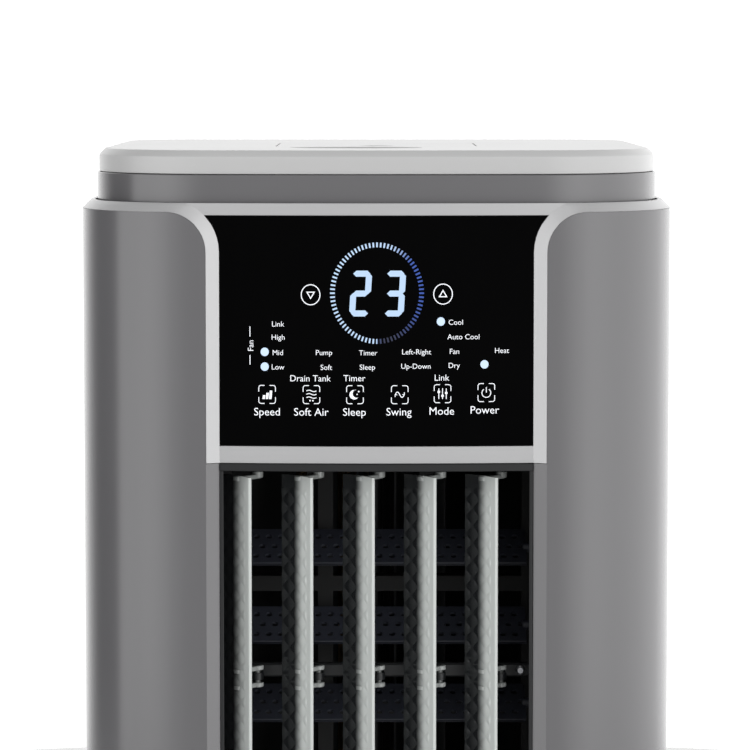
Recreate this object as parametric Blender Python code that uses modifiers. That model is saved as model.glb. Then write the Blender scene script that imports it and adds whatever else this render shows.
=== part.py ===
"""Evaporative cooler on castors, as an assembly of separate pieces.

Metres, +Z up. The front faces -Y, +X is to the right when one stands before it, and the origin is on the floor under
the middle of the body. Run with: blender --background --python part.py
"""

import math

import bmesh
import bpy
from mathutils import Matrix, Vector

# Body
WIDTH = 0.342
DEPTH = 0.332
HEIGHT = 0.760
FRONT_RADIUS = 1.10  # the bow of the front in plan
CORNER_RADIUS = 0.075
REAR_RADIUS = 0.045
WALL = 0.0025
GAP = 0.0003  # between pieces that touch
SKIRT_LIFT = 0.056  # floor to the lower edge of the shells
SIDE_SEAM_Y = 0.100  # where the side shells meet the rear shell

# Lid and neck
LID_INSET = 0.009
LID_SET_BACK = 0.010
LID_RISE = 0.0137
LID_CHAMFER = 0.0037
LID_PLATE = 0.0040
NECK_RISE = 0.0158
NECK_OUT = 0.001  # the neck stands this far out past the lid
NECK_WALL = 0.003
NECK_DECK_DROP = 0.009  # top of the shells down to the underside of the neck's deck
NECK_DECK_THICK = 0.003
SCOOP_WIDTH = 0.078
SCOOP_REACH = 0.034
SCOOP_DEPTH = 0.006
SCOOP_X = -0.012
SCOOP_Y = -0.083
FLAP_WIDTH = 0.120
FLAP_LENGTH = 0.086
FLAP_THICK = 0.0034
FLAP_REAR_Y = 0.036
FLAP_PIN_RADIUS = 0.0010
FLAP_PIN_REACH = 0.0035  # into the lid on each side
FLAP_PIN_SET = 0.0028  # the pin, ahead of the opening's rear edge

# Ice bin under the flap
ICE_PLAY = 0.001
ICE_FRONT = 0.003  # the bin's front wall, ahead of the flap's opening
ICE_DEPTH = 0.066
ICE_WALL = 0.002
CHUTE_HALF = 0.017
CHUTE_HEIGHT = 0.020

# Front: trim, glass and the outlet
TRIM_WALL = 0.0072
TRIM_BAND = 0.0048  # the chamfered band round the top
TOP_BAR = 0.0067
PANEL_WIDTH = 0.1772
PANEL_HEIGHT = 0.1304
BOTTOM_BAR = 0.0095
STRIP_WIDTH = 0.0073
SHOULDER_RADIUS = 0.0227  # where each strip turns out into the top band
GLASS_THICK = 0.0030
PANEL_SINK = 0.0040  # the glass and its two bars lie this far behind the shells' faces
OUTLET_LIFT = 0.2719  # floor to the outlet's foot
BOARD_HALF = 0.078
BOARD_THICK = 0.0016
BOARD_MARGIN = 0.008  # panel's edge to the board, above and below

# Bezel in the outlet's mouth
BEZEL_SINK = 0.0030
BEZEL_SIDE = 0.0018

# Outlet liner
LINER_MARGIN = 0.0019  # its inside, past each side of the opening
LINER_WALL = 0.0020
LINER_FRONT_Y = -0.1575
LINER_REAR_Y = -0.0750
LIP_DROP = 0.0046  # the lip at the head of the outlet
LIP_RISE = 0.0041  # the sill at its foot
HOLE_PLAY = 0.0005  # round a pin in its hole

# Upright vanes
VANES = 5
VANE_LEFT = 0.0221  # liner's left side to the first vane's axis
VANE_RIGHT = 0.0193  # last vane's axis to the liner's right side
VANE_AXIS_Y = -0.134
VANE_RIM = (-0.0032, -0.0220)  # from the vane's axis
VANE_REAR = (-0.0200, -0.0040)
VANE_BOW = 0.048
VANE_THICK = 0.0028
VANE_END_PLAY = 0.0042  # vane to lip, and vane to sill
ARM_WIDTH = 0.0050
ARM_THICK = 0.0025
DISC_RADIUS = 0.0036
SPINDLE_RADIUS = 0.0025
SOCKET_RADIUS = 0.0017
MOTOR_SHAFT_RADIUS = 0.0014
MOTOR_RADIUS = 0.013
MOTOR_LENGTH = 0.016
CRANK_LENGTH = 0.0120
CRANK_CLEAR = 0.0012  # liner to crank
PIN_PAST = 0.0015  # a pin's end past its link
CRANK_PIN_RADIUS = 0.0014
CRANK_HOLE_RADIUS = 0.0019
LINK_THICK = 0.0025
LINK_HALF_WIDTH = 0.0032
LINK_END = 0.001  # of a link, past the width round its last pin
VANE_SWING = (-55.0, 15.0)  # degrees, from rest
RAIL_BEHIND = 0.0175
RAIL_DEPTH = 0.0060
RAIL_HEIGHT = 0.0080
LUG_WIDTH = 0.0070
LUG_THICK = 0.0040
LUG_PLAY = 0.0015

# Perforated blades across the outlet
BLADES = 6
BLADE_FIRST_DROP = 0.0571  # outlet head to the first blade's axis
BLADE_LAST_RISE = 0.0249  # outlet foot to the last blade's axis
BLADE_BEHIND = 0.038  # the blades' axes, behind the vanes'
BLADE_CHORD = 0.031
BLADE_THICK = 0.0016
BLADE_SIDE_PLAY = 0.0030
BLADE_TILT = 32.0
BLADE_SWING = (-60.0, 12.0)
BLADE_PIN_RADIUS = 0.0030
BLADE_PIN_OUT = 0.002  # the plain pins' ends, past the liner

# Air path
FAN_Y = 0.008
FAN_RADIUS = 0.045
FAN_BLADES = 12
FAN_END_PLAY = 0.0050
SHAFT_RADIUS = 0.0040
SHAFT_PLAY = 0.0006
DISC_THICK = 0.0020
PLATE = 0.0030
SCROLL_WALL = 0.0020
SCROLL_BELOW = 0.0050  # its floor, under the outlet's foot
SCROLL_UNDER = 0.0040  # its head, under the outlet's
SCROLL_REAR_PLAY = 0.012
SCROLL_FRONT_PLAY = 0.010
SCROLL_FOOT_HALF = 0.004
SCROLL_FOOT_INSET = 0.006
FAN_SLAT_DEPTH = 0.0095
FAN_SLAT_THICK = 0.0014
FAN_SLAT_INSET = 0.0010
FAN_BOSS_RADIUS = 0.012
FAN_BOSS_HEIGHT = 0.004
FAN_MOTOR_RADIUS = 0.035
FAN_MOTOR_HEIGHT = 0.045
HEATER_DEPTH = 0.012
HEATER_PLAY = 0.004
HEATER_COLUMNS = 3
HEATER_ROWS = 4
HEATER_RIB = 0.0045
DECK_Z = 0.205
DECK_THICK = 0.004
DRAIN_SLOT_HALF = 0.025
DRAIN_SLOT_PITCH = 0.066
PAD_WIDTH = 0.224
PAD_THICK = 0.030
PAD_Y = 0.125
PAD_LIFT = 0.026  # deck to the pad
PAD_DROP = 0.1025  # top of the shells to the pad
WINDOW_WIDTH = 0.236
WINDOW_MARGIN = 0.008
FILTER_THICK = 0.004
GRILLE_ROWS = 12
GRILLE_RIM = 0.012
GRILLE_BAR = 0.005
GRILLE_SLOT_HALF = 0.034
GRILLE_SLOT_PITCH = 0.0725
CONTROL_BOX = ((0.118, -0.035, 0.300), (0.150, 0.050, 0.420))

# Water
TANK_LEFT = -0.095
TANK_RIGHT = 0.115
TANK_FRONT_Y = -0.060
TANK_HEIGHT = 0.114
TANK_WALL = 0.003
TANK_REAR_WALL = 0.014
TANK_LIFT = 0.003  # above the base pan's floor
HOSE_RADIUS = 0.005
HOSE_PLAY = 0.0015
HOSE_BEND = 0.0075
PUMP_X = -0.126
PUMP_Y = 0.128

TROUGH_WALL = 0.002
TROUGH_LIFT = 0.004  # above the pad
TROUGH_HEIGHT = 0.018
DRIPS = 8
DRIP_PITCH = 0.028
DRIP_RADIUS = 0.002
PULL_HALF = 0.040
PULL_DEPTH = 0.010
PULL_LIFT = 0.070
PULL_HEIGHT = 0.026
LEVEL_X = 0.085
LEVEL_Z = 0.060  # above the tank's foot
LEVEL_WIDTH = 0.012
LEVEL_HEIGHT = 0.080
LEVEL_DEPTH = 0.002
DRAIN_LIFT = 0.014
DRAIN_INSET = 0.025
DRAIN_CAP = 0.0030
DRAIN_CAP_RADIUS = 0.0092
DRAIN_NECK_RADIUS = 0.0058
DRAIN_LENGTH = 0.0175
PUMP_HALF_X = 0.021
PUMP_HALF_Y = 0.020
PUMP_HEIGHT = 0.045
PUMP_NOZZLE = 0.008

# Power inlet, in the rear shell over the tank
INLET_X = 0.090
INLET_Z = 0.188
INLET_WIDTH = 0.030
INLET_HEIGHT = 0.019
INLET_DEPTH = 0.022
INLET_WALL = 0.004
INLET_BACK = 0.006

# Castors and base
BASE_Z = 0.050
BASE_FLOOR = 0.003
BASE_RIM = 0.026
WHEEL_RADIUS = 0.020
WHEEL_WIDTH = 0.009
CASTOR_TRAIL = 0.012
CASTOR_X = 0.120
CASTOR_FRONT_Y = -0.105
CASTOR_REAR_Y = 0.110
YOKE_HALF = 0.006
YOKE_PLATE = 0.004
YOKE_PLATE_RADIUS = 0.016
YOKE_STEM_RADIUS = 0.0040
YOKE_DROP = 0.008  # the yoke's end under the axle
AXLE_RADIUS = 0.0030
WHEEL_EDGE = 0.001

# Side grips
GRIP_LENGTH = 0.100
GRIP_HEIGHT = 0.028
GRIP_DEPTH = 0.019
GRIP_Y = 0.020
GRIP_DROP = 0.1165  # top of the shells to the grips' middle
GRIP_WALL = 0.002

# Worked out from the sizes above
FRONT_Y = -DEPTH / 2
REAR_Y = DEPTH / 2
BODY_TOP = HEIGHT - LID_RISE - NECK_RISE
BAND_Z = BODY_TOP - TRIM_BAND
GRIP_Z = BODY_TOP - GRIP_DROP
PANEL_TOP = BODY_TOP - TOP_BAR
PANEL_FOOT = PANEL_TOP - PANEL_HEIGHT
OUTLET_TOP = PANEL_FOOT - BOTTOM_BAR
OUTLET_FOOT = OUTLET_LIFT
OUTLET_HEIGHT = OUTLET_TOP - OUTLET_FOOT
BLADE_PITCH = (OUTLET_HEIGHT - BLADE_FIRST_DROP - BLADE_LAST_RISE) / (BLADES - 1)
PANEL_HALF = PANEL_WIDTH / 2
STRIP_OUT = PANEL_HALF + STRIP_WIDTH
SHOULDER_X = STRIP_OUT + SHOULDER_RADIUS
SHOULDER_Z = BAND_Z - SHOULDER_RADIUS
LINER_HALF = PANEL_HALF + LINER_MARGIN
LINER_OUT = LINER_HALF + LINER_WALL
LINER_TOP = OUTLET_TOP - LIP_DROP
LINER_FOOT = OUTLET_FOOT + LIP_RISE
VANE_TOP = LINER_TOP - VANE_END_PLAY
VANE_FOOT = LINER_FOOT + VANE_END_PLAY
CRANK_Z = LINER_TOP + LINER_WALL + CRANK_CLEAR
LINK_Z = CRANK_Z + ARM_THICK + GAP
SPINDLE_TOP = LINK_Z + LINK_THICK + PIN_PAST
VANE_PITCH = (2 * LINER_HALF - VANE_LEFT - VANE_RIGHT) / (VANES - 1)
VANE_XS = [VANE_LEFT - LINER_HALF + i * VANE_PITCH for i in range(VANES)]
VANE_CRANK_TURN = -sum(VANE_SWING) / 2  # degrees: the crank points straight back at mid swing
BLADE_Y = VANE_AXIS_Y + BLADE_BEHIND
BLADE_ZS = [OUTLET_TOP - BLADE_FIRST_DROP - i * BLADE_PITCH for i in range(BLADES)]
BLADE_HALF = LINER_HALF - BLADE_SIDE_PLAY
BLADE_CRANK_TURN = -sum(BLADE_SWING) / 2
RAIL_Z = (BLADE_ZS[1] + BLADE_ZS[2]) / 2
RAIL_Y = VANE_AXIS_Y + RAIL_BEHIND
DRIVEN_VANE = VANES - 1
DRIVEN_BLADE = 2
LINKED_VANE = VANES // 2
LINKED_BLADE = 2
DECK_TOP = DECK_Z + DECK_THICK
SCROLL_FOOT = OUTLET_FOOT - SCROLL_BELOW
SCROLL_TOP = OUTLET_TOP - SCROLL_UNDER
ROTOR_FOOT = SCROLL_FOOT + PLATE + FAN_END_PLAY
ROTOR_TOP = SCROLL_TOP - FAN_END_PLAY
PAD_FOOT = DECK_TOP + PAD_LIFT
PAD_TOP = BODY_TOP - PAD_DROP
WINDOW_FOOT = PAD_FOOT - WINDOW_MARGIN
WINDOW_TOP = PAD_TOP + WINDOW_MARGIN
TANK_FOOT = BASE_Z + BASE_FLOOR + TANK_LIFT
FAR = 1.0
PAST = 0.01  # how far a cutter runs past what it cuts

FRONT_STEPS = 4
CORNER_STEPS = 6

PARTS = "evaporative_cooler"
CUTTERS = "cutters"

SHELL_GREY = (0.18, 0.18, 0.19)
LID_GREY = (0.55, 0.55, 0.55)
SILVER = (0.60, 0.60, 0.60)
BLACK = (0.012, 0.012, 0.013)
DARK_GREY = (0.06, 0.06, 0.065)
VANE_GREY = (0.45, 0.47, 0.46)
WHITE = (0.70, 0.70, 0.68)
METAL = (0.55, 0.56, 0.58)
BOARD_GREEN = (0.02, 0.16, 0.07)
PAD_BROWN = (0.30, 0.20, 0.10)
CLEAR_BLUE = (0.35, 0.48, 0.60)


# ---- Scene, meshes and modifiers ----


def clear_scene():
    for old in list(bpy.data.objects):
        bpy.data.objects.remove(old, do_unlink=True)
    for name in (PARTS, CUTTERS):
        collection = bpy.data.collections.get(name) or bpy.data.collections.new(name)
        if collection.name not in bpy.context.scene.collection.children:
            bpy.context.scene.collection.children.link(collection)


def material(name, colour, roughness, metallic):
    made = bpy.data.materials.new(name)
    made.use_nodes = True
    shader = made.node_tree.nodes["Principled BSDF"]
    shader.inputs["Base Color"].default_value = (*colour, 1.0)
    shader.inputs["Roughness"].default_value = roughness
    shader.inputs["Metallic"].default_value = metallic
    made.diffuse_color = (*colour, 1.0)
    return made


def part(name, mesh, colour, roughness=0.45, metallic=0.0, axis=None):
    """A named piece. One that moves has its origin at axis, a point on its joint."""
    made = bpy.data.objects.new(name, mesh)
    bpy.data.collections[PARTS].objects.link(made)
    mesh.materials.clear()
    mesh.materials.append(material(name, colour, roughness, metallic))
    if axis is not None:
        mesh.transform(Matrix.Translation(-Vector(axis)))
        made.location = axis
    mesh.shade_smooth()
    mesh.set_sharp_from_angle(angle=math.radians(35))
    return made


def helper(name, mesh):
    made = bpy.data.objects.new(name, mesh)
    bpy.data.collections[CUTTERS].objects.link(made)
    made.hide_render = True
    made.display_type = "WIRE"
    return made


def combine(target, mesh, operation):
    """A Boolean of the piece with a mesh given in world coordinates."""
    tool = helper(f"{target.name}_{operation.lower()}", mesh)
    modifier = target.modifiers.new(operation.title(), "BOOLEAN")
    modifier.operation = operation
    modifier.solver = "EXACT"
    modifier.use_self = operation == "UNION"
    modifier.object = tool
    return target


def cut(target, *meshes):
    return combine(target, merged(*meshes), "DIFFERENCE")


def join(target, *meshes):
    for mesh in meshes:
        combine(target, mesh, "UNION")
    return target


def keep(target, mesh):
    return combine(target, mesh, "INTERSECT")


def finished(bm, name):
    mesh = bpy.data.meshes.new(name)
    bm.to_mesh(mesh)
    bm.free()
    return mesh


def merged(*meshes):
    """Meshes that don't touch, as one mesh."""
    bm = bmesh.new()
    for mesh in meshes:
        bm.from_mesh(mesh)
    return finished(bm, "merged")


def box(low, high):
    bm = bmesh.new()
    bmesh.ops.create_cube(bm, size=1.0)
    size = Vector(high) - Vector(low)
    bmesh.ops.scale(bm, vec=size, verts=bm.verts)
    bmesh.ops.translate(bm, vec=(Vector(high) + Vector(low)) / 2, verts=bm.verts)
    return finished(bm, "box")


def wide_box(half, y0, y1, z0, z1):
    return box((-half, y0, z0), (half, y1, z1))


def rod(radius, start, end, sides=10):
    """A cylinder between two points."""
    start, end = Vector(start), Vector(end)
    way = end - start
    bm = bmesh.new()
    bmesh.ops.create_cone(
        bm, cap_ends=True, segments=sides, radius1=radius, radius2=radius, depth=way.length
    )
    turn = way.to_track_quat("Z", "Y").to_matrix().to_4x4()
    bmesh.ops.transform(bm, matrix=Matrix.Translation((start + end) / 2) @ turn, verts=bm.verts)
    return finished(bm, "rod")


def outline(loops, thickness):
    """A flat outline in XY, with holes where a loop lies inside another, as thick as given, about z = 0."""
    curve = bpy.data.curves.new("outline", "CURVE")
    curve.dimensions = "2D"
    curve.fill_mode = "BOTH"
    curve.extrude = thickness / 2
    for loop in loops:
        spline = curve.splines.new("POLY")
        spline.points.add(len(loop) - 1)
        for point, (x, y) in zip(spline.points, loop):
            point.co = (x, y, 0.0, 1.0)
        spline.use_cyclic_u = True
    return solid_from(curve)


def solid_from(curve):
    """The curve's mesh, with its loose caps welded on and its faces pointing out."""
    holder = bpy.data.objects.new("holder", curve)
    bpy.context.scene.collection.objects.link(holder)
    graph = bpy.context.evaluated_depsgraph_get()
    mesh = bpy.data.meshes.new_from_object(holder.evaluated_get(graph))
    bpy.data.objects.remove(holder, do_unlink=True)
    bpy.data.curves.remove(curve)
    bm = bmesh.new()
    bm.from_mesh(mesh)
    bmesh.ops.remove_doubles(bm, verts=bm.verts, dist=0.00001)
    bmesh.ops.recalc_face_normals(bm, faces=bm.faces)
    bm.to_mesh(mesh)
    bm.free()
    return mesh


def slab(loops, z0, z1):
    """An outline in plan, from z0 up to z1."""
    mesh = outline(loops, z1 - z0)
    mesh.transform(Matrix.Translation((0, 0, (z0 + z1) / 2)))
    return mesh


def screen(loops, y0, y1):
    """An outline as seen from the front, as (x, z) points, from y0 back to y1."""
    mesh = outline(loops, y1 - y0)
    mesh.transform(Matrix.Translation((0, (y0 + y1) / 2, 0)) @ Matrix.Rotation(math.pi / 2, 4, "X"))
    return mesh


def turned(name, profile, colour, steps=20, roughness=0.45, metallic=0.0, axis=(0, 0, 0), along="Z"):
    """A profile of (radius, height) points, top to bottom, turned about the line through axis."""
    bm = bmesh.new()
    points = [bm.verts.new((r, 0, z)) for r, z in profile]
    for first, second in zip(points, points[1:]):
        bm.edges.new((first, second))
    made = part(name, finished(bm, name), colour, roughness, metallic)
    made.location = axis
    if along == "X":
        made.rotation_euler = (0, math.pi / 2, 0)
    screw = made.modifiers.new("Turn", "SCREW")
    screw.axis = "Z"
    screw.angle = math.tau
    screw.steps = screw.render_steps = steps
    screw.use_merge_vertices = True
    screw.merge_threshold = 0.00001
    screw.use_normal_calculate = False
    return made


# ---- Outlines in plan ----


def arc(centre, radius, start, end, steps):
    """Points on an arc between two angles in degrees, both ends included."""
    angles = [math.radians(start + (end - start) * i / steps) for i in range(steps + 1)]
    return [(centre[0] + radius * math.cos(a), centre[1] + radius * math.sin(a)) for a in angles]


def plan(width, depth, inset=0.0):
    """The plan of the body: a bowed front, wide front corners and tighter rear ones. inset runs parallel to it."""
    front_radius = FRONT_RADIUS - inset
    corner = CORNER_RADIUS - inset
    rear = REAR_RADIUS - inset
    half = width / 2 - inset
    bow_centre = -depth / 2 + FRONT_RADIUS
    corner_x = half - corner
    corner_y = bow_centre - math.sqrt((front_radius - corner) ** 2 - corner_x**2)
    lean = math.degrees(math.asin(corner_x / (front_radius - corner)))
    right = arc((0, bow_centre), front_radius, -90, -90 + lean, FRONT_STEPS)
    right += arc((corner_x, corner_y), corner, -90 + lean, 0, CORNER_STEPS)[1:]
    right += arc((half - rear, depth / 2 - inset - rear), rear, 0, 90, CORNER_STEPS)
    left = [(-x, y) for x, y in reversed(right[1:])]
    return right + left


def ring(inset, wall, z0, z1):
    """A wall that follows the body's plan all the way round."""
    return slab([plan(WIDTH, DEPTH, inset), plan(WIDTH, DEPTH, inset + wall)], z0, z1)


def lid_plan(inset=0.0):
    return plan(WIDTH - 2 * LID_INSET, DEPTH - 2 * LID_SET_BACK, inset)


# ---- Outlines from the front ----


def rectangle(x0, x1, z0, z1):
    return [(x0, z0), (x1, z0), (x1, z1), (x0, z1)]


def shoulder(radius, sign):
    """The turn from a strip's vertical edge, going up, out towards the side."""
    return [(sign * x, z) for x, z in arc((SHOULDER_X, SHOULDER_Z), radius, 180, 90, CORNER_STEPS)]


def glass_outline(gap=0.0):
    """Upright sides that flare out at the head, along the shoulders."""
    radius = SHOULDER_RADIUS + STRIP_WIDTH + gap
    top = PANEL_TOP - gap
    rise = math.degrees(math.asin((top - SHOULDER_Z) / radius))
    right = arc((SHOULDER_X, SHOULDER_Z), radius, 180, 180 - rise, CORNER_STEPS)
    foot = PANEL_FOOT + gap
    right = [(PANEL_HALF - gap, foot)] + right
    return right + [(-x, z) for x, z in reversed(right)]


def panel_outline():
    """The field between the strips, open at the top and at the foot."""
    radius = SHOULDER_RADIUS + STRIP_WIDTH
    rise = math.degrees(math.asin((BAND_Z - SHOULDER_Z) / radius))
    turn = arc((SHOULDER_X, SHOULDER_Z), radius, 180, 180 - rise, CORNER_STEPS)
    right = [(PANEL_HALF, OUTLET_TOP - 0.01)] + turn + [(turn[-1][0], BODY_TOP + 0.01)]
    return right + [(-x, z) for x, z in reversed(right)]


def trim_outline():
    """The strips and bars round the glass, opening out at the top into the band over both shells."""
    right = [(STRIP_OUT, OUTLET_TOP)] + shoulder(SHOULDER_RADIUS, 1) + [(WIDTH, BAND_Z), (WIDTH, BODY_TOP + FAR)]
    return right + [(-x, z) for x, z in reversed(right)]


def shell_outline():
    """The right-hand shell: to the outlet's edge below, to the strip beside the panel, and under the top band."""
    near = [(PANEL_HALF, SKIRT_LIFT), (PANEL_HALF, OUTLET_TOP), (STRIP_OUT + GAP, OUTLET_TOP)]
    turn = arc((SHOULDER_X, SHOULDER_Z), SHOULDER_RADIUS - GAP, 180, 90, CORNER_STEPS)
    return near + turn + [(WIDTH, BAND_Z - GAP), (WIDTH, SKIRT_LIFT)]


# ---- Body ----


def build_shells():
    grip = [
        box(
            (side * WIDTH / 2 - WALL * 2, GRIP_Y - GRIP_LENGTH / 2, GRIP_Z - GRIP_HEIGHT / 2),
            (side * WIDTH / 2 + WALL * 2, GRIP_Y + GRIP_LENGTH / 2, GRIP_Z + GRIP_HEIGHT / 2),
        )
        for side in (-1, 1)
    ]
    for side, name in ((-1, "side_shell_left"), (1, "side_shell_right")):
        shell = part(name, ring(0, WALL, SKIRT_LIFT, BAND_Z - GAP), SHELL_GREY)
        face = [(side * x, z) for x, z in shell_outline()]
        keep(shell, screen([face], -FAR, SIDE_SEAM_Y))
        cut(shell, grip[0 if side < 0 else 1])

    rear = part("rear_shell", ring(0, WALL, SKIRT_LIFT, BODY_TOP), SHELL_GREY)
    keep(rear, box((-FAR, SIDE_SEAM_Y + GAP, 0), (FAR, FAR, FAR)))
    window = wide_box(WINDOW_WIDTH / 2, REAR_Y - 4 * WALL, FAR, WINDOW_FOOT, WINDOW_TOP)
    bay = box(
        (TANK_LEFT - 3 * GAP, REAR_Y - 4 * WALL, TANK_FOOT - 3 * GAP),
        (TANK_RIGHT + 3 * GAP, FAR, TANK_FOOT + TANK_HEIGHT + 3 * GAP),
    )
    inlet = inlet_box(0, REAR_Y - 4 * WALL, FAR)
    cut(rear, window, bay, inlet)

    cover = part("front_lower_cover", ring(0, WALL, SKIRT_LIFT, OUTLET_FOOT - GAP), SHELL_GREY)
    keep(cover, wide_box(PANEL_HALF - GAP, -FAR, 0, 0, FAR))


def build_trim():
    trim = part("trim_frame", chamfered(ring(0, TRIM_WALL, OUTLET_TOP, BODY_TOP), TRIM_BAND), SILVER, 0.3)
    keep(trim, screen([trim_outline()], -FAR, SIDE_SEAM_Y))
    sunk = helper("sunk_panel", slab([plan(WIDTH, DEPTH, -FAR / 10), plan(WIDTH, DEPTH, PANEL_SINK)], 0, FAR))
    keep(sunk, screen([panel_outline()], -FAR, 0))
    remove = trim.modifiers.new("Sunk panel", "BOOLEAN")
    remove.solver = "EXACT"
    remove.object = sunk
    cut(trim, screen([glass_outline()], -FAR, 0))

    band = slab(
        [plan(WIDTH, DEPTH, PANEL_SINK), plan(WIDTH, DEPTH, PANEL_SINK + GLASS_THICK)], PANEL_FOOT, PANEL_TOP
    )
    glass = part("control_glass", band, BLACK, 0.06)
    keep(glass, screen([glass_outline(GAP)], -FAR, 0))

    back = glass_back_y(BOARD_HALF)
    board = wide_box(BOARD_HALF, back, back + BOARD_THICK, PANEL_FOOT + BOARD_MARGIN, PANEL_TOP - BOARD_MARGIN)
    part("display_board", board, BOARD_GREEN)


def glass_back_y(half):
    """Where a flat board as wide as 2 * half just clears the back of the glass."""
    inner = FRONT_RADIUS - PANEL_SINK - GLASS_THICK
    return FRONT_Y + FRONT_RADIUS - math.sqrt(inner**2 - half**2) + 2 * GAP


def chamfered(mesh, width):
    """Slopes the outer top edge of a wall that follows the body's plan in by width."""
    bm = bmesh.new()
    bm.from_mesh(mesh)
    top = max(v.co.z for v in bm.verts)
    everything = [*bm.verts, *bm.edges, *bm.faces]
    bmesh.ops.bisect_plane(bm, geom=everything, plane_co=(0, 0, top - width), plane_no=(0, 0, 1))
    inward = zip(plan(WIDTH, DEPTH), plan(WIDTH, DEPTH, width))
    moves = {(round(x, 5), round(y, 5)): new for (x, y), new in inward}
    for vertex in bm.verts:
        place = (round(vertex.co.x, 5), round(vertex.co.y, 5))
        if vertex.co.z > top - 1e-5 and place in moves:
            vertex.co.xy = moves[place]
    return finished(bm, "chamfered")


def build_neck_and_lid():
    neck_top = BODY_TOP + NECK_RISE
    deck_foot = BODY_TOP - NECK_DECK_DROP
    deck = slab([plan(WIDTH, DEPTH, TRIM_WALL + 3 * GAP), ice_hole()], deck_foot, deck_foot + NECK_DECK_THICK)
    neck = part("neck_ring", deck, SHELL_GREY)
    wall = [lid_plan(-NECK_OUT), lid_plan(NECK_WALL - NECK_OUT)]
    join(neck, slab(wall, deck_foot + NECK_DECK_THICK / 2, neck_top))

    lid_foot = neck_top + GAP
    lid = part("top_lid", slab([lid_plan()], lid_foot, HEIGHT), LID_GREY, 0.35)
    chamfer = lid.modifiers.new("Chamfer", "BEVEL")
    chamfer.width = LID_CHAMFER
    chamfer.segments = 1
    chamfer.limit_method = "WEIGHT"
    weights = lid.data.attributes.new("bevel_weight_edge", "FLOAT", "EDGE")
    for edge in lid.data.edges:
        weights.data[edge.index].value = float(all(lid.data.vertices[v].co.z > HEIGHT - 1e-4 for v in edge.vertices))
    reach_x, reach_y = SCOOP_WIDTH / 2 + LID_PLATE, SCOOP_REACH / 2 + LID_PLATE
    boss = rectangle(SCOOP_X - reach_x, SCOOP_X + reach_x, SCOOP_Y - reach_y, SCOOP_Y + reach_y)
    cut(lid, slab([lid_plan(WALL), boss], lid_foot - PAST, HEIGHT - LID_PLATE))
    scoop = rod(0.5, (0, 0, HEIGHT - SCOOP_DEPTH), (0, 0, HEIGHT + PAST), 24)
    scoop.transform(
        Matrix.Translation((SCOOP_X, SCOOP_Y, 0)) @ Matrix.Diagonal((SCOOP_WIDTH, SCOOP_REACH, 1, 1))
    )
    opening = wide_box(FLAP_WIDTH / 2, FLAP_REAR_Y - FLAP_LENGTH, FLAP_REAR_Y, lid_foot - PAST, HEIGHT + PAST)
    cut(lid, scoop, opening)
    hinge_y, hinge_z = flap_hinge()
    reach = FLAP_WIDTH / 2 + FLAP_PIN_REACH
    hole = rod(FLAP_PIN_RADIUS + GAP, (-reach, hinge_y, hinge_z), (reach, hinge_y, hinge_z), 8)
    cut(lid, hole)

    play = 2 * GAP
    plate = box(
        (-FLAP_WIDTH / 2 + play, FLAP_REAR_Y - FLAP_LENGTH + play, HEIGHT - FLAP_THICK),
        (FLAP_WIDTH / 2 - play, FLAP_REAR_Y - 2 * GAP - FLAP_THICK / 4, HEIGHT),
    )
    flap = part("fill_flap", plate, LID_GREY, 0.35, axis=(0, hinge_y, hinge_z))
    pin_reach = reach - 2 * GAP
    pin = rod(FLAP_PIN_RADIUS, (-pin_reach, hinge_y, hinge_z), (pin_reach, hinge_y, hinge_z), 8)
    join(flap, pin)


def flap_hinge():
    return FLAP_REAR_Y - FLAP_PIN_SET, HEIGHT - FLAP_THICK / 2


def ice_hole():
    x = FLAP_WIDTH / 2 + ICE_PLAY
    return rectangle(-x, x, FLAP_REAR_Y - FLAP_LENGTH - ICE_FRONT - ICE_PLAY, FLAP_REAR_Y + ICE_PLAY)


def build_ice_box():
    """A bin under the flap, with an open chute that runs back over the water distributor."""
    half = FLAP_WIDTH / 2
    front, rear = FLAP_REAR_Y - FLAP_LENGTH - ICE_FRONT, FLAP_REAR_Y
    foot, top = BODY_TOP - ICE_DEPTH, HEIGHT - LID_RISE - ICE_WALL
    chute_end = PAD_Y + PAD_THICK / 3
    ice = part("ice_box", wide_box(half, front, rear, foot, top), WHITE)
    join(ice, wide_box(CHUTE_HALF, rear - ICE_WALL / 2, chute_end, foot, foot + CHUTE_HEIGHT))
    cut(ice, wide_box(half - ICE_WALL, front + ICE_WALL, rear - ICE_WALL, foot + ICE_WALL, FAR))
    cut(ice, wide_box(CHUTE_HALF - ICE_WALL, rear - 2 * ICE_WALL, FAR, foot + ICE_WALL, foot + CHUTE_HEIGHT + PAST))


# ---- Outlet ----


def build_bezel():
    """A frame just inside the mouth of the outlet: a lip at its head, a sill at its foot and two thin sides."""
    half = PANEL_HALF - GAP
    bezel = part("outlet_bezel", ring(BEZEL_SINK, 0.02, OUTLET_FOOT + GAP, OUTLET_TOP - GAP), DARK_GREY)
    face = rectangle(-half, half, 0, FAR)
    keep(bezel, screen([face], -FAR, LINER_FRONT_Y - GAP))
    cut(bezel, wide_box(half - BEZEL_SIDE, -FAR, FAR, LINER_FOOT, LINER_TOP))


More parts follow.
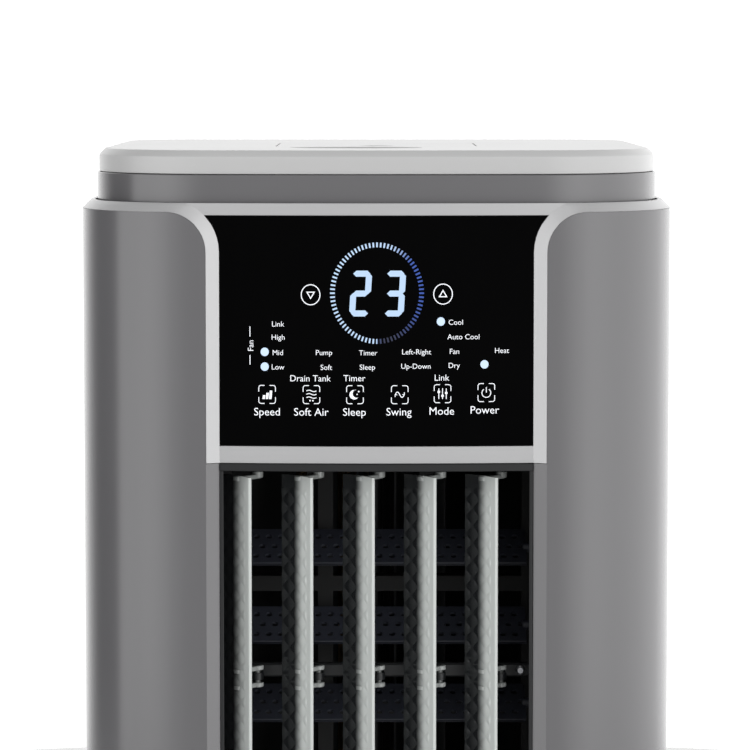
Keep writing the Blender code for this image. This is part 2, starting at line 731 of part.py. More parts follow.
def build_liner():
    liner = part(
        "outlet_liner",
        wide_box(LINER_OUT, LINER_FRONT_Y, LINER_REAR_Y, LINER_FOOT - LINER_WALL, LINER_TOP + LINER_WALL),
        BLACK,
    )
    cut(liner, wide_box(LINER_HALF, -FAR, FAR, LINER_FOOT, LINER_TOP))
    spindle_holes = [
        rod(SPINDLE_RADIUS + HOLE_PLAY, (x, VANE_AXIS_Y, LINER_FOOT - 0.01), (x, VANE_AXIS_Y, LINER_TOP + 0.01), 10)
        for x in VANE_XS
    ]
    pin_holes = [
        rod(BLADE_PIN_RADIUS + HOLE_PLAY, (-LINER_OUT - 0.01, BLADE_Y, z), (LINER_OUT + 0.01, BLADE_Y, z), 10)
        for z in BLADE_ZS
    ]
    cut(liner, *spindle_holes)
    cut(liner, *pin_holes)


def vane_blade():
    """The bowed sheet, in plan, from the rear edge round to the rim, relative to the vane's axis."""
    rim, rear = Vector(VANE_RIM), Vector(VANE_REAR)
    chord = rim - rear
    middle = (rim + rear) / 2
    off = Vector((-chord.y, chord.x)).normalized()
    centre = middle - off * math.sqrt(VANE_BOW**2 - chord.length_squared / 4)
    start = math.degrees(math.atan2(*(rear - centre).yx))
    end = math.degrees(math.atan2(*(rim - centre).yx))
    outer = arc(centre, VANE_BOW + VANE_THICK / 2, start, end, 5)
    inner = arc(centre, VANE_BOW - VANE_THICK / 2, end, start, 5)
    return outer + inner


def vane_arm(z0, z1):
    """From the axis out to the middle of the blade."""
    middle = (Vector(VANE_RIM) + Vector(VANE_REAR)) / 2
    reach = middle.length + VANE_THICK / 2
    arm = box((0, -ARM_WIDTH / 2, z0), (reach, ARM_WIDTH / 2, z1))
    arm.transform(Matrix.Rotation(math.atan2(middle.y, middle.x), 4, "Z"))
    return arm


def crank(turn, length, width, z0, z1):
    """An arm from the axis, straight back when turn is 0, in degrees."""
    arm = box((-width / 2, 0, z0), (width / 2, length + width / 2, z1))
    arm.transform(Matrix.Rotation(math.radians(turn), 4, "Z"))
    return arm


def vane_mesh_parts():
    lug_low, lug_high = RAIL_Z - LUG_THICK / 2 - LUG_PLAY, RAIL_Z + LUG_THICK / 2 + LUG_PLAY
    turn = math.radians(VANE_CRANK_TURN)
    pin_x, pin_y = -CRANK_LENGTH * math.sin(turn), CRANK_LENGTH * math.cos(turn)
    return [
        rod(DISC_RADIUS, (0, 0, VANE_TOP - ARM_THICK), (0, 0, VANE_TOP + 0.001)),
        vane_arm(VANE_TOP - ARM_THICK - 0.0005, VANE_TOP - 0.0005),
        vane_arm(VANE_FOOT + 0.0005, VANE_FOOT + ARM_THICK + 0.0005),
        rod(DISC_RADIUS, (0, 0, VANE_FOOT - 0.001), (0, 0, VANE_FOOT + ARM_THICK)),
        rod(SPINDLE_RADIUS, (0, 0, LINER_FOOT - LINER_WALL), (0, 0, VANE_FOOT)),
        rod(SPINDLE_RADIUS, (0, 0, VANE_TOP - 0.001), (0, 0, SPINDLE_TOP)),
        crank(VANE_CRANK_TURN, CRANK_LENGTH, ARM_WIDTH - 0.0003, CRANK_Z, CRANK_Z + ARM_THICK),
        rod(CRANK_PIN_RADIUS, (pin_x, pin_y, CRANK_Z + 0.001), (pin_x, pin_y, SPINDLE_TOP), 8),
        vane_arm(lug_high, lug_high + ARM_THICK),
        vane_arm(lug_low - ARM_THICK, lug_low),
        rod(SOCKET_RADIUS, (0, 0, lug_low - ARM_THICK / 2), (0, 0, lug_high + ARM_THICK / 2), 8),
        rod(DISC_RADIUS, (0, 0, lug_high + 0.0002), (0, 0, lug_high + ARM_THICK + 0.0002)),
        rod(DISC_RADIUS, (0, 0, lug_low - ARM_THICK - 0.0002), (0, 0, lug_low - 0.0002)),
    ]


def build_vanes():
    for number, x in enumerate(VANE_XS, 1):
        vane = part(f"vane_{number}", slab([vane_blade()], VANE_FOOT, VANE_TOP), VANE_GREY, 0.3)
        vane.location = (x, VANE_AXIS_Y, 0)
        for piece in vane_mesh_parts():
            piece.transform(Matrix.Translation(vane.location))
            join(vane, piece)
        socket = rod(SOCKET_RADIUS, (x, VANE_AXIS_Y, CRANK_Z + 0.001), (x, VANE_AXIS_Y, SPINDLE_TOP + 0.01), 8)
        cut(vane, socket)


def build_vane_drive():
    turn = math.radians(VANE_CRANK_TURN)
    dx, dy = -CRANK_LENGTH * math.sin(turn), CRANK_LENGTH * math.cos(turn)
    y = VANE_AXIS_Y + dy
    reach = LINK_HALF_WIDTH + LINK_END
    low, high = (VANE_XS[0] + dx - reach, y - LINK_HALF_WIDTH), (VANE_XS[-1] + dx + reach, y + LINK_HALF_WIDTH)
    bar = part(
        "vane_link_bar",
        box((*low, LINK_Z), (*high, LINK_Z + LINK_THICK)),
        DARK_GREY,
        axis=(VANE_XS[LINKED_VANE] + dx, y, 0),
    )
    cut(bar, *[rod(CRANK_HOLE_RADIUS, (x + dx, y, LINK_Z - 0.01), (x + dx, y, LINK_Z + 0.01), 8) for x in VANE_XS])

    x = VANE_XS[DRIVEN_VANE]
    foot = SPINDLE_TOP + PIN_PAST
    body = rod(MOTOR_RADIUS, (x, VANE_AXIS_Y, foot), (x, VANE_AXIS_Y, foot + MOTOR_LENGTH), 20)
    motor = part("vane_motor", body, METAL, 0.4, 0.8)
    shaft = rod(MOTOR_SHAFT_RADIUS, (x, VANE_AXIS_Y, CRANK_Z + PIN_PAST), (x, VANE_AXIS_Y, foot + PIN_PAST), 8)
    join(motor, shaft)

    rail = part(
        "vane_stay_rail",
        wide_box(LINER_HALF - GAP, RAIL_Y, RAIL_Y + RAIL_DEPTH, RAIL_Z - RAIL_HEIGHT / 2, RAIL_Z + RAIL_HEIGHT / 2),
        DARK_GREY,
    )
    for x in VANE_XS:
        lug = rod(LUG_WIDTH / 2, (x, VANE_AXIS_Y, RAIL_Z - LUG_THICK / 2), (x, VANE_AXIS_Y, RAIL_Z + LUG_THICK / 2), 12)
        web = box(
            (x - LUG_WIDTH / 2 + 0.0002, VANE_AXIS_Y, RAIL_Z - LUG_THICK / 2 + 0.0002),
            (x + LUG_WIDTH / 2 - 0.0002, RAIL_Y + RAIL_DEPTH / 2, RAIL_Z + LUG_THICK / 2 - 0.0002),
        )
        join(rail, web, lug)
    cut(rail, *[rod(SOCKET_RADIUS + HOLE_PLAY, (x, VANE_AXIS_Y, RAIL_Z - 0.01), (x, VANE_AXIS_Y, RAIL_Z + 0.01), 8)
                for x in VANE_XS])


def build_blades():
    for number, z in enumerate(BLADE_ZS, 1):
        plate = box(
            (-BLADE_HALF, -BLADE_CHORD / 2, -BLADE_THICK / 2), (BLADE_HALF, BLADE_CHORD / 2, BLADE_THICK / 2)
        )
        blade = part(f"air_blade_{number}", plate, DARK_GREY, 0.4)
        blade.location = (0, BLADE_Y, z)
        blade.rotation_euler = (math.radians(BLADE_TILT), 0, 0)
        place = Matrix.Translation(blade.location)
        pin_x, crank_x = blade_crank_xs()
        right = LINER_OUT + BLADE_PIN_OUT
        pins = [
            rod(BLADE_PIN_RADIUS, (-BLADE_HALF + 0.002, 0, 0), (-crank_x - ARM_THICK, 0, 0), 10),
            rod(BLADE_PIN_RADIUS, (BLADE_HALF - 0.002, 0, 0), (right, 0, 0), 10),
        ]
        arm = box(
            (-crank_x - ARM_THICK + 0.0002, 0, -ARM_WIDTH / 2), (-crank_x, CRANK_LENGTH + 0.002, ARM_WIDTH / 2)
        )
        arm.transform(Matrix.Rotation(math.radians(BLADE_CRANK_TURN), 4, "X"))
        _, dy, dz = blade_crank_pin()
        pins.append(rod(CRANK_PIN_RADIUS, (-crank_x - 0.001, dy, dz), (-pin_x, dy, dz), 8))
        for piece in (*pins, arm):
            piece.transform(place)
            join(blade, piece)
        cut(blade, rod(SOCKET_RADIUS, (BLADE_HALF + 0.001, BLADE_Y, z), (right + 0.01, BLADE_Y, z), 8))


def blade_crank_xs():
    """How far out the crank pins end, and how far out the cranks start."""
    crank_x = LINER_OUT + CRANK_CLEAR
    return crank_x + ARM_THICK + LINK_THICK + 4 * GAP, crank_x


def blade_crank_pin():
    turn = math.radians(BLADE_CRANK_TURN)
    return 0, CRANK_LENGTH * math.cos(turn), CRANK_LENGTH * math.sin(turn)


def build_blade_drive():
    _, dy, dz = blade_crank_pin()
    _, crank_x = blade_crank_xs()
    near = -crank_x - ARM_THICK - GAP
    y = BLADE_Y + dy
    reach = LINK_HALF_WIDTH + LINK_END
    rod_bar = part(
        "blade_link_rod",
        box(
            (near - LINK_THICK, y - LINK_HALF_WIDTH, BLADE_ZS[-1] + dz - reach),
            (near, y + LINK_HALF_WIDTH, BLADE_ZS[0] + dz + reach),
        ),
        DARK_GREY,
        axis=(0, y, BLADE_ZS[LINKED_BLADE] + dz),
    )
    cut(rod_bar, *[rod(CRANK_HOLE_RADIUS, (near - 0.01, y, z + dz), (near + 0.01, y, z + dz), 8) for z in BLADE_ZS])

    z = BLADE_ZS[DRIVEN_BLADE]
    face = LINER_OUT + BLADE_PIN_OUT + PIN_PAST
    body = rod(MOTOR_RADIUS, (face, BLADE_Y, z), (face + MOTOR_LENGTH, BLADE_Y, z), 20)
    motor = part("blade_motor", body, METAL, 0.4, 0.8)
    join(motor, rod(MOTOR_SHAFT_RADIUS, (BLADE_HALF + PIN_PAST, BLADE_Y, z), (face + PIN_PAST, BLADE_Y, z), 8))


# ---- Fan and air path ----


def build_fan():
    shaft_low = DECK_TOP + FAN_MOTOR_HEIGHT * 2 / 3
    shaft_high = SCROLL_TOP + PLATE + FAN_BOSS_HEIGHT / 2
    middle = (ROTOR_FOOT + ROTOR_TOP) / 2
    discs = [ROTOR_TOP, middle + DISC_THICK / 2, ROTOR_FOOT + DISC_THICK]
    profile = [(0, shaft_high), (SHAFT_RADIUS, shaft_high)]
    for top in discs:
        profile += [(SHAFT_RADIUS, top), (FAN_RADIUS, top), (FAN_RADIUS, top - DISC_THICK)]
        profile += [(SHAFT_RADIUS, top - DISC_THICK)]
    profile += [(SHAFT_RADIUS, shaft_low), (0, shaft_low)]
    rotor = turned("fan_rotor", profile, DARK_GREY, 18, axis=(0, FAN_Y, 0))
    slats = []
    for i in range(FAN_BLADES):
        slat = box(
            (FAN_RADIUS - FAN_SLAT_INSET - FAN_SLAT_DEPTH, -FAN_SLAT_THICK / 2, ROTOR_FOOT + DISC_THICK / 2),
            (FAN_RADIUS - FAN_SLAT_INSET, FAN_SLAT_THICK / 2, ROTOR_TOP - DISC_THICK / 2),
        )
        angle = math.tau * (i + 0.5) / FAN_BLADES
        slat.transform(Matrix.Translation((0, FAN_Y, 0)) @ Matrix.Rotation(angle, 4, "Z"))
        slats.append(slat)
    join(rotor, merged(*slats))

    hole = rod(SHAFT_RADIUS + SHAFT_PLAY, (0, FAN_Y, shaft_low - 0.004), (0, FAN_Y, FAR), 16)
    motor = part(
        "fan_motor",
        rod(FAN_MOTOR_RADIUS, (0, FAN_Y, DECK_TOP + GAP), (0, FAN_Y, DECK_TOP + FAN_MOTOR_HEIGHT), 24),
        METAL, 0.4, 0.8,
    )
    cut(motor, hole)

    scroll_rear = FAN_Y + FAN_RADIUS + SCROLL_REAR_PLAY
    scroll_front = LINER_REAR_Y + HEATER_DEPTH + SCROLL_FRONT_PLAY
    inset = SCROLL_FOOT_INSET
    scroll = part(
        "fan_scroll", wide_box(LINER_OUT, scroll_front, scroll_rear, SCROLL_FOOT, SCROLL_FOOT + PLATE), DARK_GREY
    )
    for spread in (
        spiral(scroll_front + 0.001),
        tongue(scroll_front + 0.001),
    ):
        join(scroll, slab([spread], SCROLL_FOOT + PLATE / 2, SCROLL_TOP - GAP))
    for x in (-1, 1):
        for y in (scroll_front + inset, scroll_rear - inset):
            foot_x, half = x * (LINER_OUT - inset), SCROLL_FOOT_HALF
            foot = box(
                (foot_x - half, y - half, DECK_TOP + GAP), (foot_x + half, y + half, SCROLL_FOOT + PLATE / 3)
            )
            join(scroll, foot)
    cut(scroll, rod(SHAFT_RADIUS + SHAFT_PLAY, (0, FAN_Y, SCROLL_FOOT - 0.01), (0, FAN_Y, SCROLL_FOOT + 0.01), 16))

    plate = part(
        "fan_top_plate", wide_box(LINER_OUT, scroll_front, scroll_rear, SCROLL_TOP, SCROLL_TOP + PLATE), DARK_GREY
    )
    head = SCROLL_TOP + PLATE
    join(plate, rod(FAN_BOSS_RADIUS, (0, FAN_Y, head - PLATE / 2), (0, FAN_Y, head + FAN_BOSS_HEIGHT), 20))
    cut(plate, rod(SHAFT_RADIUS + SHAFT_PLAY, (0, FAN_Y, SCROLL_TOP - 0.01), (0, FAN_Y, SCROLL_TOP + 0.02), 16))


def spiral(front):
    """The scroll's curved wall, from the right of the outlet round behind the rotor."""
    steps = 9
    near, far = FAN_RADIUS + 0.006, FAN_RADIUS + 0.030
    inner, outer = [], []
    for i in range(steps + 1):
        angle = math.radians(-20 + 115 * i / steps)
        radius = far + (near - far) * i / steps
        inner.append((radius * math.cos(angle), FAN_Y + radius * math.sin(angle)))
        outer.append(((radius + SCROLL_WALL) * math.cos(angle), FAN_Y + (radius + SCROLL_WALL) * math.sin(angle)))
    edge = LINER_OUT - 0.001
    return [(edge, front), *outer, *reversed(inner), (edge - SCROLL_WALL, front)]


def tongue(front):
    """The short wall that parts the outlet from the inlet, close to the rotor on its left."""
    edge = LINER_OUT - 0.001
    near = FAN_RADIUS + 0.004
    return [(-edge, front), (-edge + SCROLL_WALL, front), (-near, FAN_Y - 0.012), (-near - SCROLL_WALL, FAN_Y - 0.010)]


def build_air_path():
    front = LINER_REAR_Y + HEATER_PLAY
    z0, z1 = LINER_FOOT + HEATER_PLAY, LINER_TOP - HEATER_PLAY
    heater = part("heater_core", wide_box(LINER_HALF, front, front + HEATER_DEPTH, z0, z1), METAL, 0.4, 0.7)
    step_x, step_z = 2 * LINER_HALF / HEATER_COLUMNS, (z1 - z0) / HEATER_ROWS
    rib = HEATER_RIB
    cells = [
        box(
            (-LINER_HALF + c * step_x + rib, -FAR, z0 + r * step_z + rib),
            (-LINER_HALF + (c + 1) * step_x - rib, FAR, z0 + (r + 1) * step_z - rib),
        )
        for c in range(HEATER_COLUMNS)
        for r in range(HEATER_ROWS)
    ]
    cut(heater, *cells)

    deck = part("mid_deck", slab([plan(WIDTH, DEPTH, WALL + 0.004)], DECK_Z, DECK_TOP), DARK_GREY)
    slots = [
        box(
            (x - DRAIN_SLOT_HALF, PAD_Y, DECK_Z - PAST),
            (x + DRAIN_SLOT_HALF, PAD_Y + PAD_THICK - DECK_THICK, DECK_TOP + PAST),
        )
        for x in (-DRAIN_SLOT_PITCH, 0.0, DRAIN_SLOT_PITCH)
    ]
    hose_hole = rod(HOSE_RADIUS + HOSE_PLAY, (PUMP_X, PUMP_Y, DECK_Z - PAST), (PUMP_X, PUMP_Y, DECK_TOP + PAST), 12)
    cut(deck, *slots, hose_hole)

    half = PAD_WIDTH / 2
    part("cooling_pad", wide_box(half, PAD_Y, PAD_Y + PAD_THICK, PAD_FOOT, PAD_TOP), PAD_BROWN, 0.9)
    filter_y = PAD_Y + PAD_THICK + GAP
    part("dust_filter", wide_box(half, filter_y, filter_y + FILTER_THICK, PAD_FOOT, PAD_TOP), BLACK, 0.8)

    grille_y = filter_y + FILTER_THICK + GAP
    half = WINDOW_WIDTH / 2 - 2 * GAP
    grille = part(
        "rear_grille",
        wide_box(half, grille_y, REAR_Y, WINDOW_FOOT + 2 * GAP, WINDOW_TOP - 2 * GAP),
        DARK_GREY,
    )
    pitch = (WINDOW_TOP - WINDOW_FOOT - 2 * GRILLE_RIM) / GRILLE_ROWS
    bars = [
        box(
            (x - GRILLE_SLOT_HALF, -FAR, WINDOW_FOOT + GRILLE_RIM + pitch * i + GRILLE_BAR / 2),
            (x + GRILLE_SLOT_HALF, FAR, WINDOW_FOOT + GRILLE_RIM + pitch * (i + 1) - GRILLE_BAR / 2),
        )
        for i in range(GRILLE_ROWS)
        for x in (-GRILLE_SLOT_PITCH, 0.0, GRILLE_SLOT_PITCH)
    ]
    cut(grille, *bars)

    part("control_box", box(*CONTROL_BOX), WHITE)
    inlet = part("power_inlet", inlet_box(GAP, REAR_Y - INLET_DEPTH, REAR_Y - 2 * GAP), BLACK)
    cut(inlet, inlet_box(INLET_WALL, REAR_Y - INLET_DEPTH + INLET_BACK, FAR))


def inlet_box(inset, y0, y1):
    half, rise = INLET_WIDTH / 2 - inset, INLET_HEIGHT / 2 - inset
    return box((INLET_X - half, y0, INLET_Z - rise), (INLET_X + half, y1, INLET_Z + rise))


# ---- Water ----


def build_water():
    wall = TROUGH_WALL
    half, low_y, high_y = PAD_WIDTH / 2 + 2 * wall, PAD_Y - 2 * wall, PAD_Y + PAD_THICK
    foot = PAD_TOP + TROUGH_LIFT
    top = foot + TROUGH_HEIGHT
    trough = part("water_distributor", wide_box(half, low_y, high_y, foot, top), WHITE)
    cut(trough, wide_box(half - wall, low_y + wall, high_y - wall, foot + wall, FAR))
    y = (low_y + high_y) / 2
    xs = [DRIP_PITCH * (i - (DRIPS - 1) / 2) for i in range(DRIPS)]
    cut(trough, *[rod(DRIP_RADIUS, (x, y, foot - PAST), (x, y, foot + 2 * wall), 8) for x in xs])

    rear_y = REAR_Y - GAP
    tank = part(
        "water_tank",
        box((TANK_LEFT, TANK_FRONT_Y, TANK_FOOT), (TANK_RIGHT, rear_y, TANK_FOOT + TANK_HEIGHT)),
        WHITE,
    )
    hollow = box(
        (TANK_LEFT + TANK_WALL, TANK_FRONT_Y + TANK_WALL, TANK_FOOT + TANK_WALL),
        (TANK_RIGHT - TANK_WALL, rear_y - TANK_REAR_WALL, FAR),
    )
    middle = (TANK_LEFT + TANK_RIGHT) / 2
    pull = box(
        (middle - PULL_HALF, rear_y - PULL_DEPTH, TANK_FOOT + PULL_LIFT),
        (middle + PULL_HALF, FAR, TANK_FOOT + PULL_LIFT + PULL_HEIGHT),
    )
    drain_z, drain_x = TANK_FOOT + DRAIN_LIFT, TANK_LEFT + DRAIN_INSET
    cap, neck, deep = DRAIN_CAP_RADIUS, DRAIN_NECK_RADIUS, DRAIN_LENGTH
    cut(tank, hollow)
    cut(tank, pull, level_window(0, FAR))
    cut(tank, rod(cap + 2 * GAP, (drain_x, rear_y - DRAIN_CAP - GAP, drain_z), (drain_x, rear_y + PAST, drain_z), 16))
    cut(tank, rod(neck + GAP, (drain_x, rear_y - deep - 2 * DRAIN_CAP / 3, drain_z), (drain_x, rear_y, drain_z), 16))
    part("tank_level_window", level_window(GAP, rear_y), CLEAR_BLUE, 0.1)
    profile = [(0, 0), (cap, 0), (cap, -DRAIN_CAP), (neck, -DRAIN_CAP), (neck, -deep), (0, -deep)]
    plug = turned("drain_plug", profile, DARK_GREY, 16, axis=(drain_x, rear_y, drain_z))
    plug.rotation_euler = (-math.pi / 2, 0, 0)

    floor = BASE_Z + BASE_FLOOR + GAP
    low, high = (PUMP_X - PUMP_HALF_X, PUMP_Y - PUMP_HALF_Y), (PUMP_X + PUMP_HALF_X, PUMP_Y + PUMP_HALF_Y)
    pump = part("pump", box((*low, floor), (*high, floor + PUMP_HEIGHT)), BLACK)
    nozzle_top = floor + PUMP_HEIGHT + PUMP_NOZZLE
    join(pump, rod(HOSE_RADIUS, (PUMP_X, PUMP_Y, floor + PUMP_HEIGHT - 0.5 * PAST), (PUMP_X, PUMP_Y, nozzle_top)))
    build_hose(nozzle_top + GAP, (foot + top) / 2)


def level_window(inset, back_y):
    """The clear strip that shows the water level, or its seat in the tank's rear wall."""
    front_y = REAR_Y - GAP - LEVEL_DEPTH + inset
    half, rise = LEVEL_WIDTH / 2 - inset, LEVEL_HEIGHT / 2 - inset
    middle_z = TANK_FOOT + LEVEL_Z
    return box((LEVEL_X - half, front_y, middle_z - rise), (LEVEL_X + half, back_y, middle_z + rise))


def build_hose(start_z, end_z):
    """Straight up from the pump, then round towards the distributor and into its end."""
    bend = HOSE_BEND
    end_x = -PAD_WIDTH / 2 - 2 * TROUGH_WALL - GAP
    turn = arc((PUMP_X + bend, end_z - bend), bend, 180, 90, 6)
    route = [(PUMP_X, start_z), (PUMP_X, (start_z + end_z) / 2), *turn, (end_x, end_z)]
    curve = bpy.data.curves.new("water_hose", "CURVE")
    curve.dimensions = "3D"
    curve.bevel_depth = HOSE_RADIUS
    curve.bevel_resolution = 2
    curve.use_fill_caps = True
    spline = curve.splines.new("POLY")
    spline.points.add(len(route) - 1)
    for point, (x, z) in zip(spline.points, route):
        point.co = (x, PUMP_Y, z, 1.0)
    part("water_hose", solid_from(curve), CLEAR_BLUE, 0.4)


# ---- Base, castors and grips ----


def build_base():
    base = part(
        "base_pan", slab([plan(WIDTH, DEPTH, WALL + GAP)], BASE_Z, BASE_Z + BASE_RIM), DARK_GREY
    )
    cut(base, slab([plan(WIDTH, DEPTH, WALL + GAP + BASE_FLOOR)], BASE_Z + BASE_FLOOR, FAR))
    bay = box((TANK_LEFT - 3 * GAP, REAR_Y - 2 * PAST, TANK_FOOT - 3 * GAP), (TANK_RIGHT + 3 * GAP, FAR, FAR))
    stem = YOKE_STEM_RADIUS + HOLE_PLAY
    holes = [rod(stem, (x, y, BASE_Z - PAST), (x, y, BASE_Z + PAST), 12) for x, y, _ in castor_places()]
    cut(base, bay, *holes)


def castor_places():
    return [
        (-CASTOR_X, CASTOR_FRONT_Y, "front_left"),
        (CASTOR_X, CASTOR_FRONT_Y, "front_right"),
        (-CASTOR_X, CASTOR_REAR_Y, "rear_left"),
        (CASTOR_X, CASTOR_REAR_Y, "rear_right"),
    ]


def build_castors():
    axle, near = AXLE_RADIUS, YOKE_HALF + 2 * GAP
    far = near + WHEEL_WIDTH
    half_profile = [(0, far), (WHEEL_RADIUS - WHEEL_EDGE, far), (WHEEL_RADIUS, far - WHEEL_EDGE)]
    half_profile += [(WHEEL_RADIUS, near), (axle, near)]
    wheel_profile = half_profile + [(radius, -rise) for radius, rise in reversed(half_profile)]
    for x, y, place in castor_places():
        top = BASE_Z - HOLE_PLAY
        yoke = part(
            f"castor_yoke_{place}",
            rod(YOKE_PLATE_RADIUS, (x, y, top - YOKE_PLATE), (x, y, top), 20),
            DARK_GREY, axis=(x, y, 0),
        )
        join(yoke, rod(YOKE_STEM_RADIUS, (x, y, top - YOKE_PLATE / 4), (x, y, BASE_Z + BASE_FLOOR - GAP), 12))
        web = box(
            (x - YOKE_HALF, y - YOKE_HALF, WHEEL_RADIUS - YOKE_DROP),
            (x + YOKE_HALF, y + CASTOR_TRAIL + YOKE_HALF, top - YOKE_PLATE * 3 / 4),
        )
        join(yoke, web)
        hub_y = y + CASTOR_TRAIL
        cut(yoke, rod(axle + HOLE_PLAY, (x - far, hub_y, WHEEL_RADIUS), (x + far, hub_y, WHEEL_RADIUS)))
        turned(
            f"castor_wheels_{place}", wheel_profile, BLACK, 20,
            axis=(x, y + CASTOR_TRAIL, WHEEL_RADIUS), along="X",
        )


def build_grips():
    for side, name in ((-1, "side_grip_left"), (1, "side_grip_right")):
        outer = side * (WIDTH / 2 - GAP)
        deep = side * (WIDTH / 2 - GRIP_DEPTH)
        length, height = GRIP_LENGTH / 2 - GAP, GRIP_HEIGHT / 2 - GAP
        grip = part(name, grip_box(outer, deep, length, height), BLACK)
        cut(grip, grip_box(side * WIDTH, deep + side * GRIP_WALL, length - GRIP_WALL, height - GRIP_WALL))


def grip_box(x0, x1, length, height):
    low, high = min(x0, x1), max(x0, x1)
    return box((low, GRIP_Y - length, GRIP_Z - height), (high, GRIP_Y + length, GRIP_Z + height))


def main():
    clear_scene()
    build_base()
    build_castors()
    build_shells()
    build_trim()
    build_neck_and_lid()
    build_ice_box()
    build_bezel()
    build_liner()
    build_vanes()
    build_vane_drive()
    build_blades()
    build_blade_drive()
    build_fan()
    build_air_path()
    build_water()
    build_grips()


main()
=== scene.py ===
"""Evaporative cooler on castors: the visible pieces and finishes, laid out as an add-on and run as a script.

Metres, +Z up. The front faces -Y, +X is to the right when one stands before it, and the floor is at z = 0.
"""

import math

import bmesh
import bpy
from mathutils import Matrix, Vector


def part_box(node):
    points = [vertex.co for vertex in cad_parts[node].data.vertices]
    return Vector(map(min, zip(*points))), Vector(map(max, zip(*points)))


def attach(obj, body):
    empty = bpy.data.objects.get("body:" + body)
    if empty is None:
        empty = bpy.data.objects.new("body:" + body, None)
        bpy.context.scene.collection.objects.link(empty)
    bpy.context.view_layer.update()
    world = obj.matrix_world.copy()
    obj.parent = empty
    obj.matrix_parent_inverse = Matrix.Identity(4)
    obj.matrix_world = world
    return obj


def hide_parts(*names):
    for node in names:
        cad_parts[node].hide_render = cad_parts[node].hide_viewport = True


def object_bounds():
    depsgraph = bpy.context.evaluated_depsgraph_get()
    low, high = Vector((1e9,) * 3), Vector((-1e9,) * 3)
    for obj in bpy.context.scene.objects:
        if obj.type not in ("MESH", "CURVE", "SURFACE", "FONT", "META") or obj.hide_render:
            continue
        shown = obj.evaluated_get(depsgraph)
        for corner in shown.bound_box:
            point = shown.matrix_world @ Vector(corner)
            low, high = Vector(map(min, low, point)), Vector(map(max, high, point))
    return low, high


bl_info = {
    "name": "Evaporative Cooler Looks",
    "version": (1, 0, 0),
    "blender": (4, 5, 0),
    "location": "View3D > Sidebar > Cooler",
    "description": "Builds the visible pieces and finishes of an evaporative cooler round its CAD frame",
    "category": "Object",
}

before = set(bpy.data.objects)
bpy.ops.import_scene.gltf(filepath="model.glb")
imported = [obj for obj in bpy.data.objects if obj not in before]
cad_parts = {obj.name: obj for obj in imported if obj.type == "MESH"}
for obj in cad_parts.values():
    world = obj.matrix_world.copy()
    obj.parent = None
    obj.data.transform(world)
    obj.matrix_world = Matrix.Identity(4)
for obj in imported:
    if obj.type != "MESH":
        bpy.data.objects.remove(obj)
CAD_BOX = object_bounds()

# Levels and edges read from the frame
SEAM = 0.0003  # between pieces that touch
SKIRT_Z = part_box("side_shell_right")[0].z
SEAM_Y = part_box("side_shell_right")[1].y
BAND_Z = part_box("side_shell_right")[1].z + SEAM
PANEL_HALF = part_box("side_shell_right")[0].x
BODY_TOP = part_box("trim_frame")[1].z
OUTLET_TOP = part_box("trim_frame")[0].z
OUTLET_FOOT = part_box("front_lower_cover")[1].z + SEAM
PANEL_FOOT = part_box("control_glass")[0].z - SEAM
PANEL_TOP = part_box("control_glass")[1].z + SEAM
LID_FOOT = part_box("top_lid")[0].z
LID_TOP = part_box("top_lid")[1].z
BODY_WIDTH = CAD_BOX[1].x - CAD_BOX[0].x
BODY_DEPTH = CAD_BOX[1].y - CAD_BOX[0].y
LINER_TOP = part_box("outlet_liner")[1].z - 0.002
LINER_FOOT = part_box("outlet_liner")[0].z + 0.002
VANES = [f"vane_{n}" for n in range(1, 6)]
BLADES = [f"air_blade_{n}" for n in range(1, 7)]
CASTORS = ("front_left", "front_right", "rear_left", "rear_right")

EVEN_STEPS = 20  # along the bow, from its middle to a corner
CORNER_STEPS = 28
SHARP_ANGLE = 18.0  # degrees: a wider turn than this is an edge


# ---- Sizes and colours that a user would change ----


def length(name, description, default):
    return bpy.props.FloatProperty(name=name, description=description, default=default, unit="LENGTH", precision=5)


def colour(name, description, default):
    return bpy.props.FloatVectorProperty(
        name=name, description=description, default=default, size=3, min=0, max=1, subtype="COLOR"
    )


def share(name, description, default):
    return bpy.props.FloatProperty(
        name=name, description=description, default=default, min=0, max=1, subtype="FACTOR"
    )


class CoolerBodySizes(bpy.types.PropertyGroup):
    front_radius: length("Front bow", "Radius of the bowed front in plan", 1.10)
    corner_radius: length("Front corners", "Radius of the front corners in plan", 0.075)
    rear_radius: length("Rear corners", "Radius of the rear corners in plan", 0.045)
    wall: length("Wall", "Thickness of the moulded shells", 0.0025)
    edge: length("Edge round", "Rounding along the moulded edges", 0.0004)
    band: length("Top band", "Rise and depth of the sloped band round the top", 0.0048)
    strip: length("Side strip", "Width of the sloped strips beside the panel", 0.0073)
    shoulder: length("Shoulder", "Radius where a strip turns out into the band", 0.0227)
    sink: length("Panel sink", "How far the panel lies behind the wings", 0.0040)
    trim_wall: length("Trim depth", "Depth of the trim's flat top", 0.0072)
    lid_chamfer: length("Lid chamfer", "Slope round the top of the lid", 0.0037)


class CoolerOutletSizes(bpy.types.PropertyGroup):
    quilt: length("Quilt pitch", "Height of one diamond on the vanes", 0.010)
    quilt_rise: length("Quilt rise", "How far each diamond stands out", 0.00042)
    vane_bow: length("Vane bow", "Radius of the vanes in plan", 0.048)
    vane_thick: length("Vane thickness", "Thickness of the vanes", 0.0028)
    hole: length("Hole", "Diameter of the holes in the air blades", 0.0039)
    hole_pitch: length("Hole pitch", "Between holes in one row", 0.0072)
    row_pitch: length("Row pitch", "Between rows of holes", 0.0086)


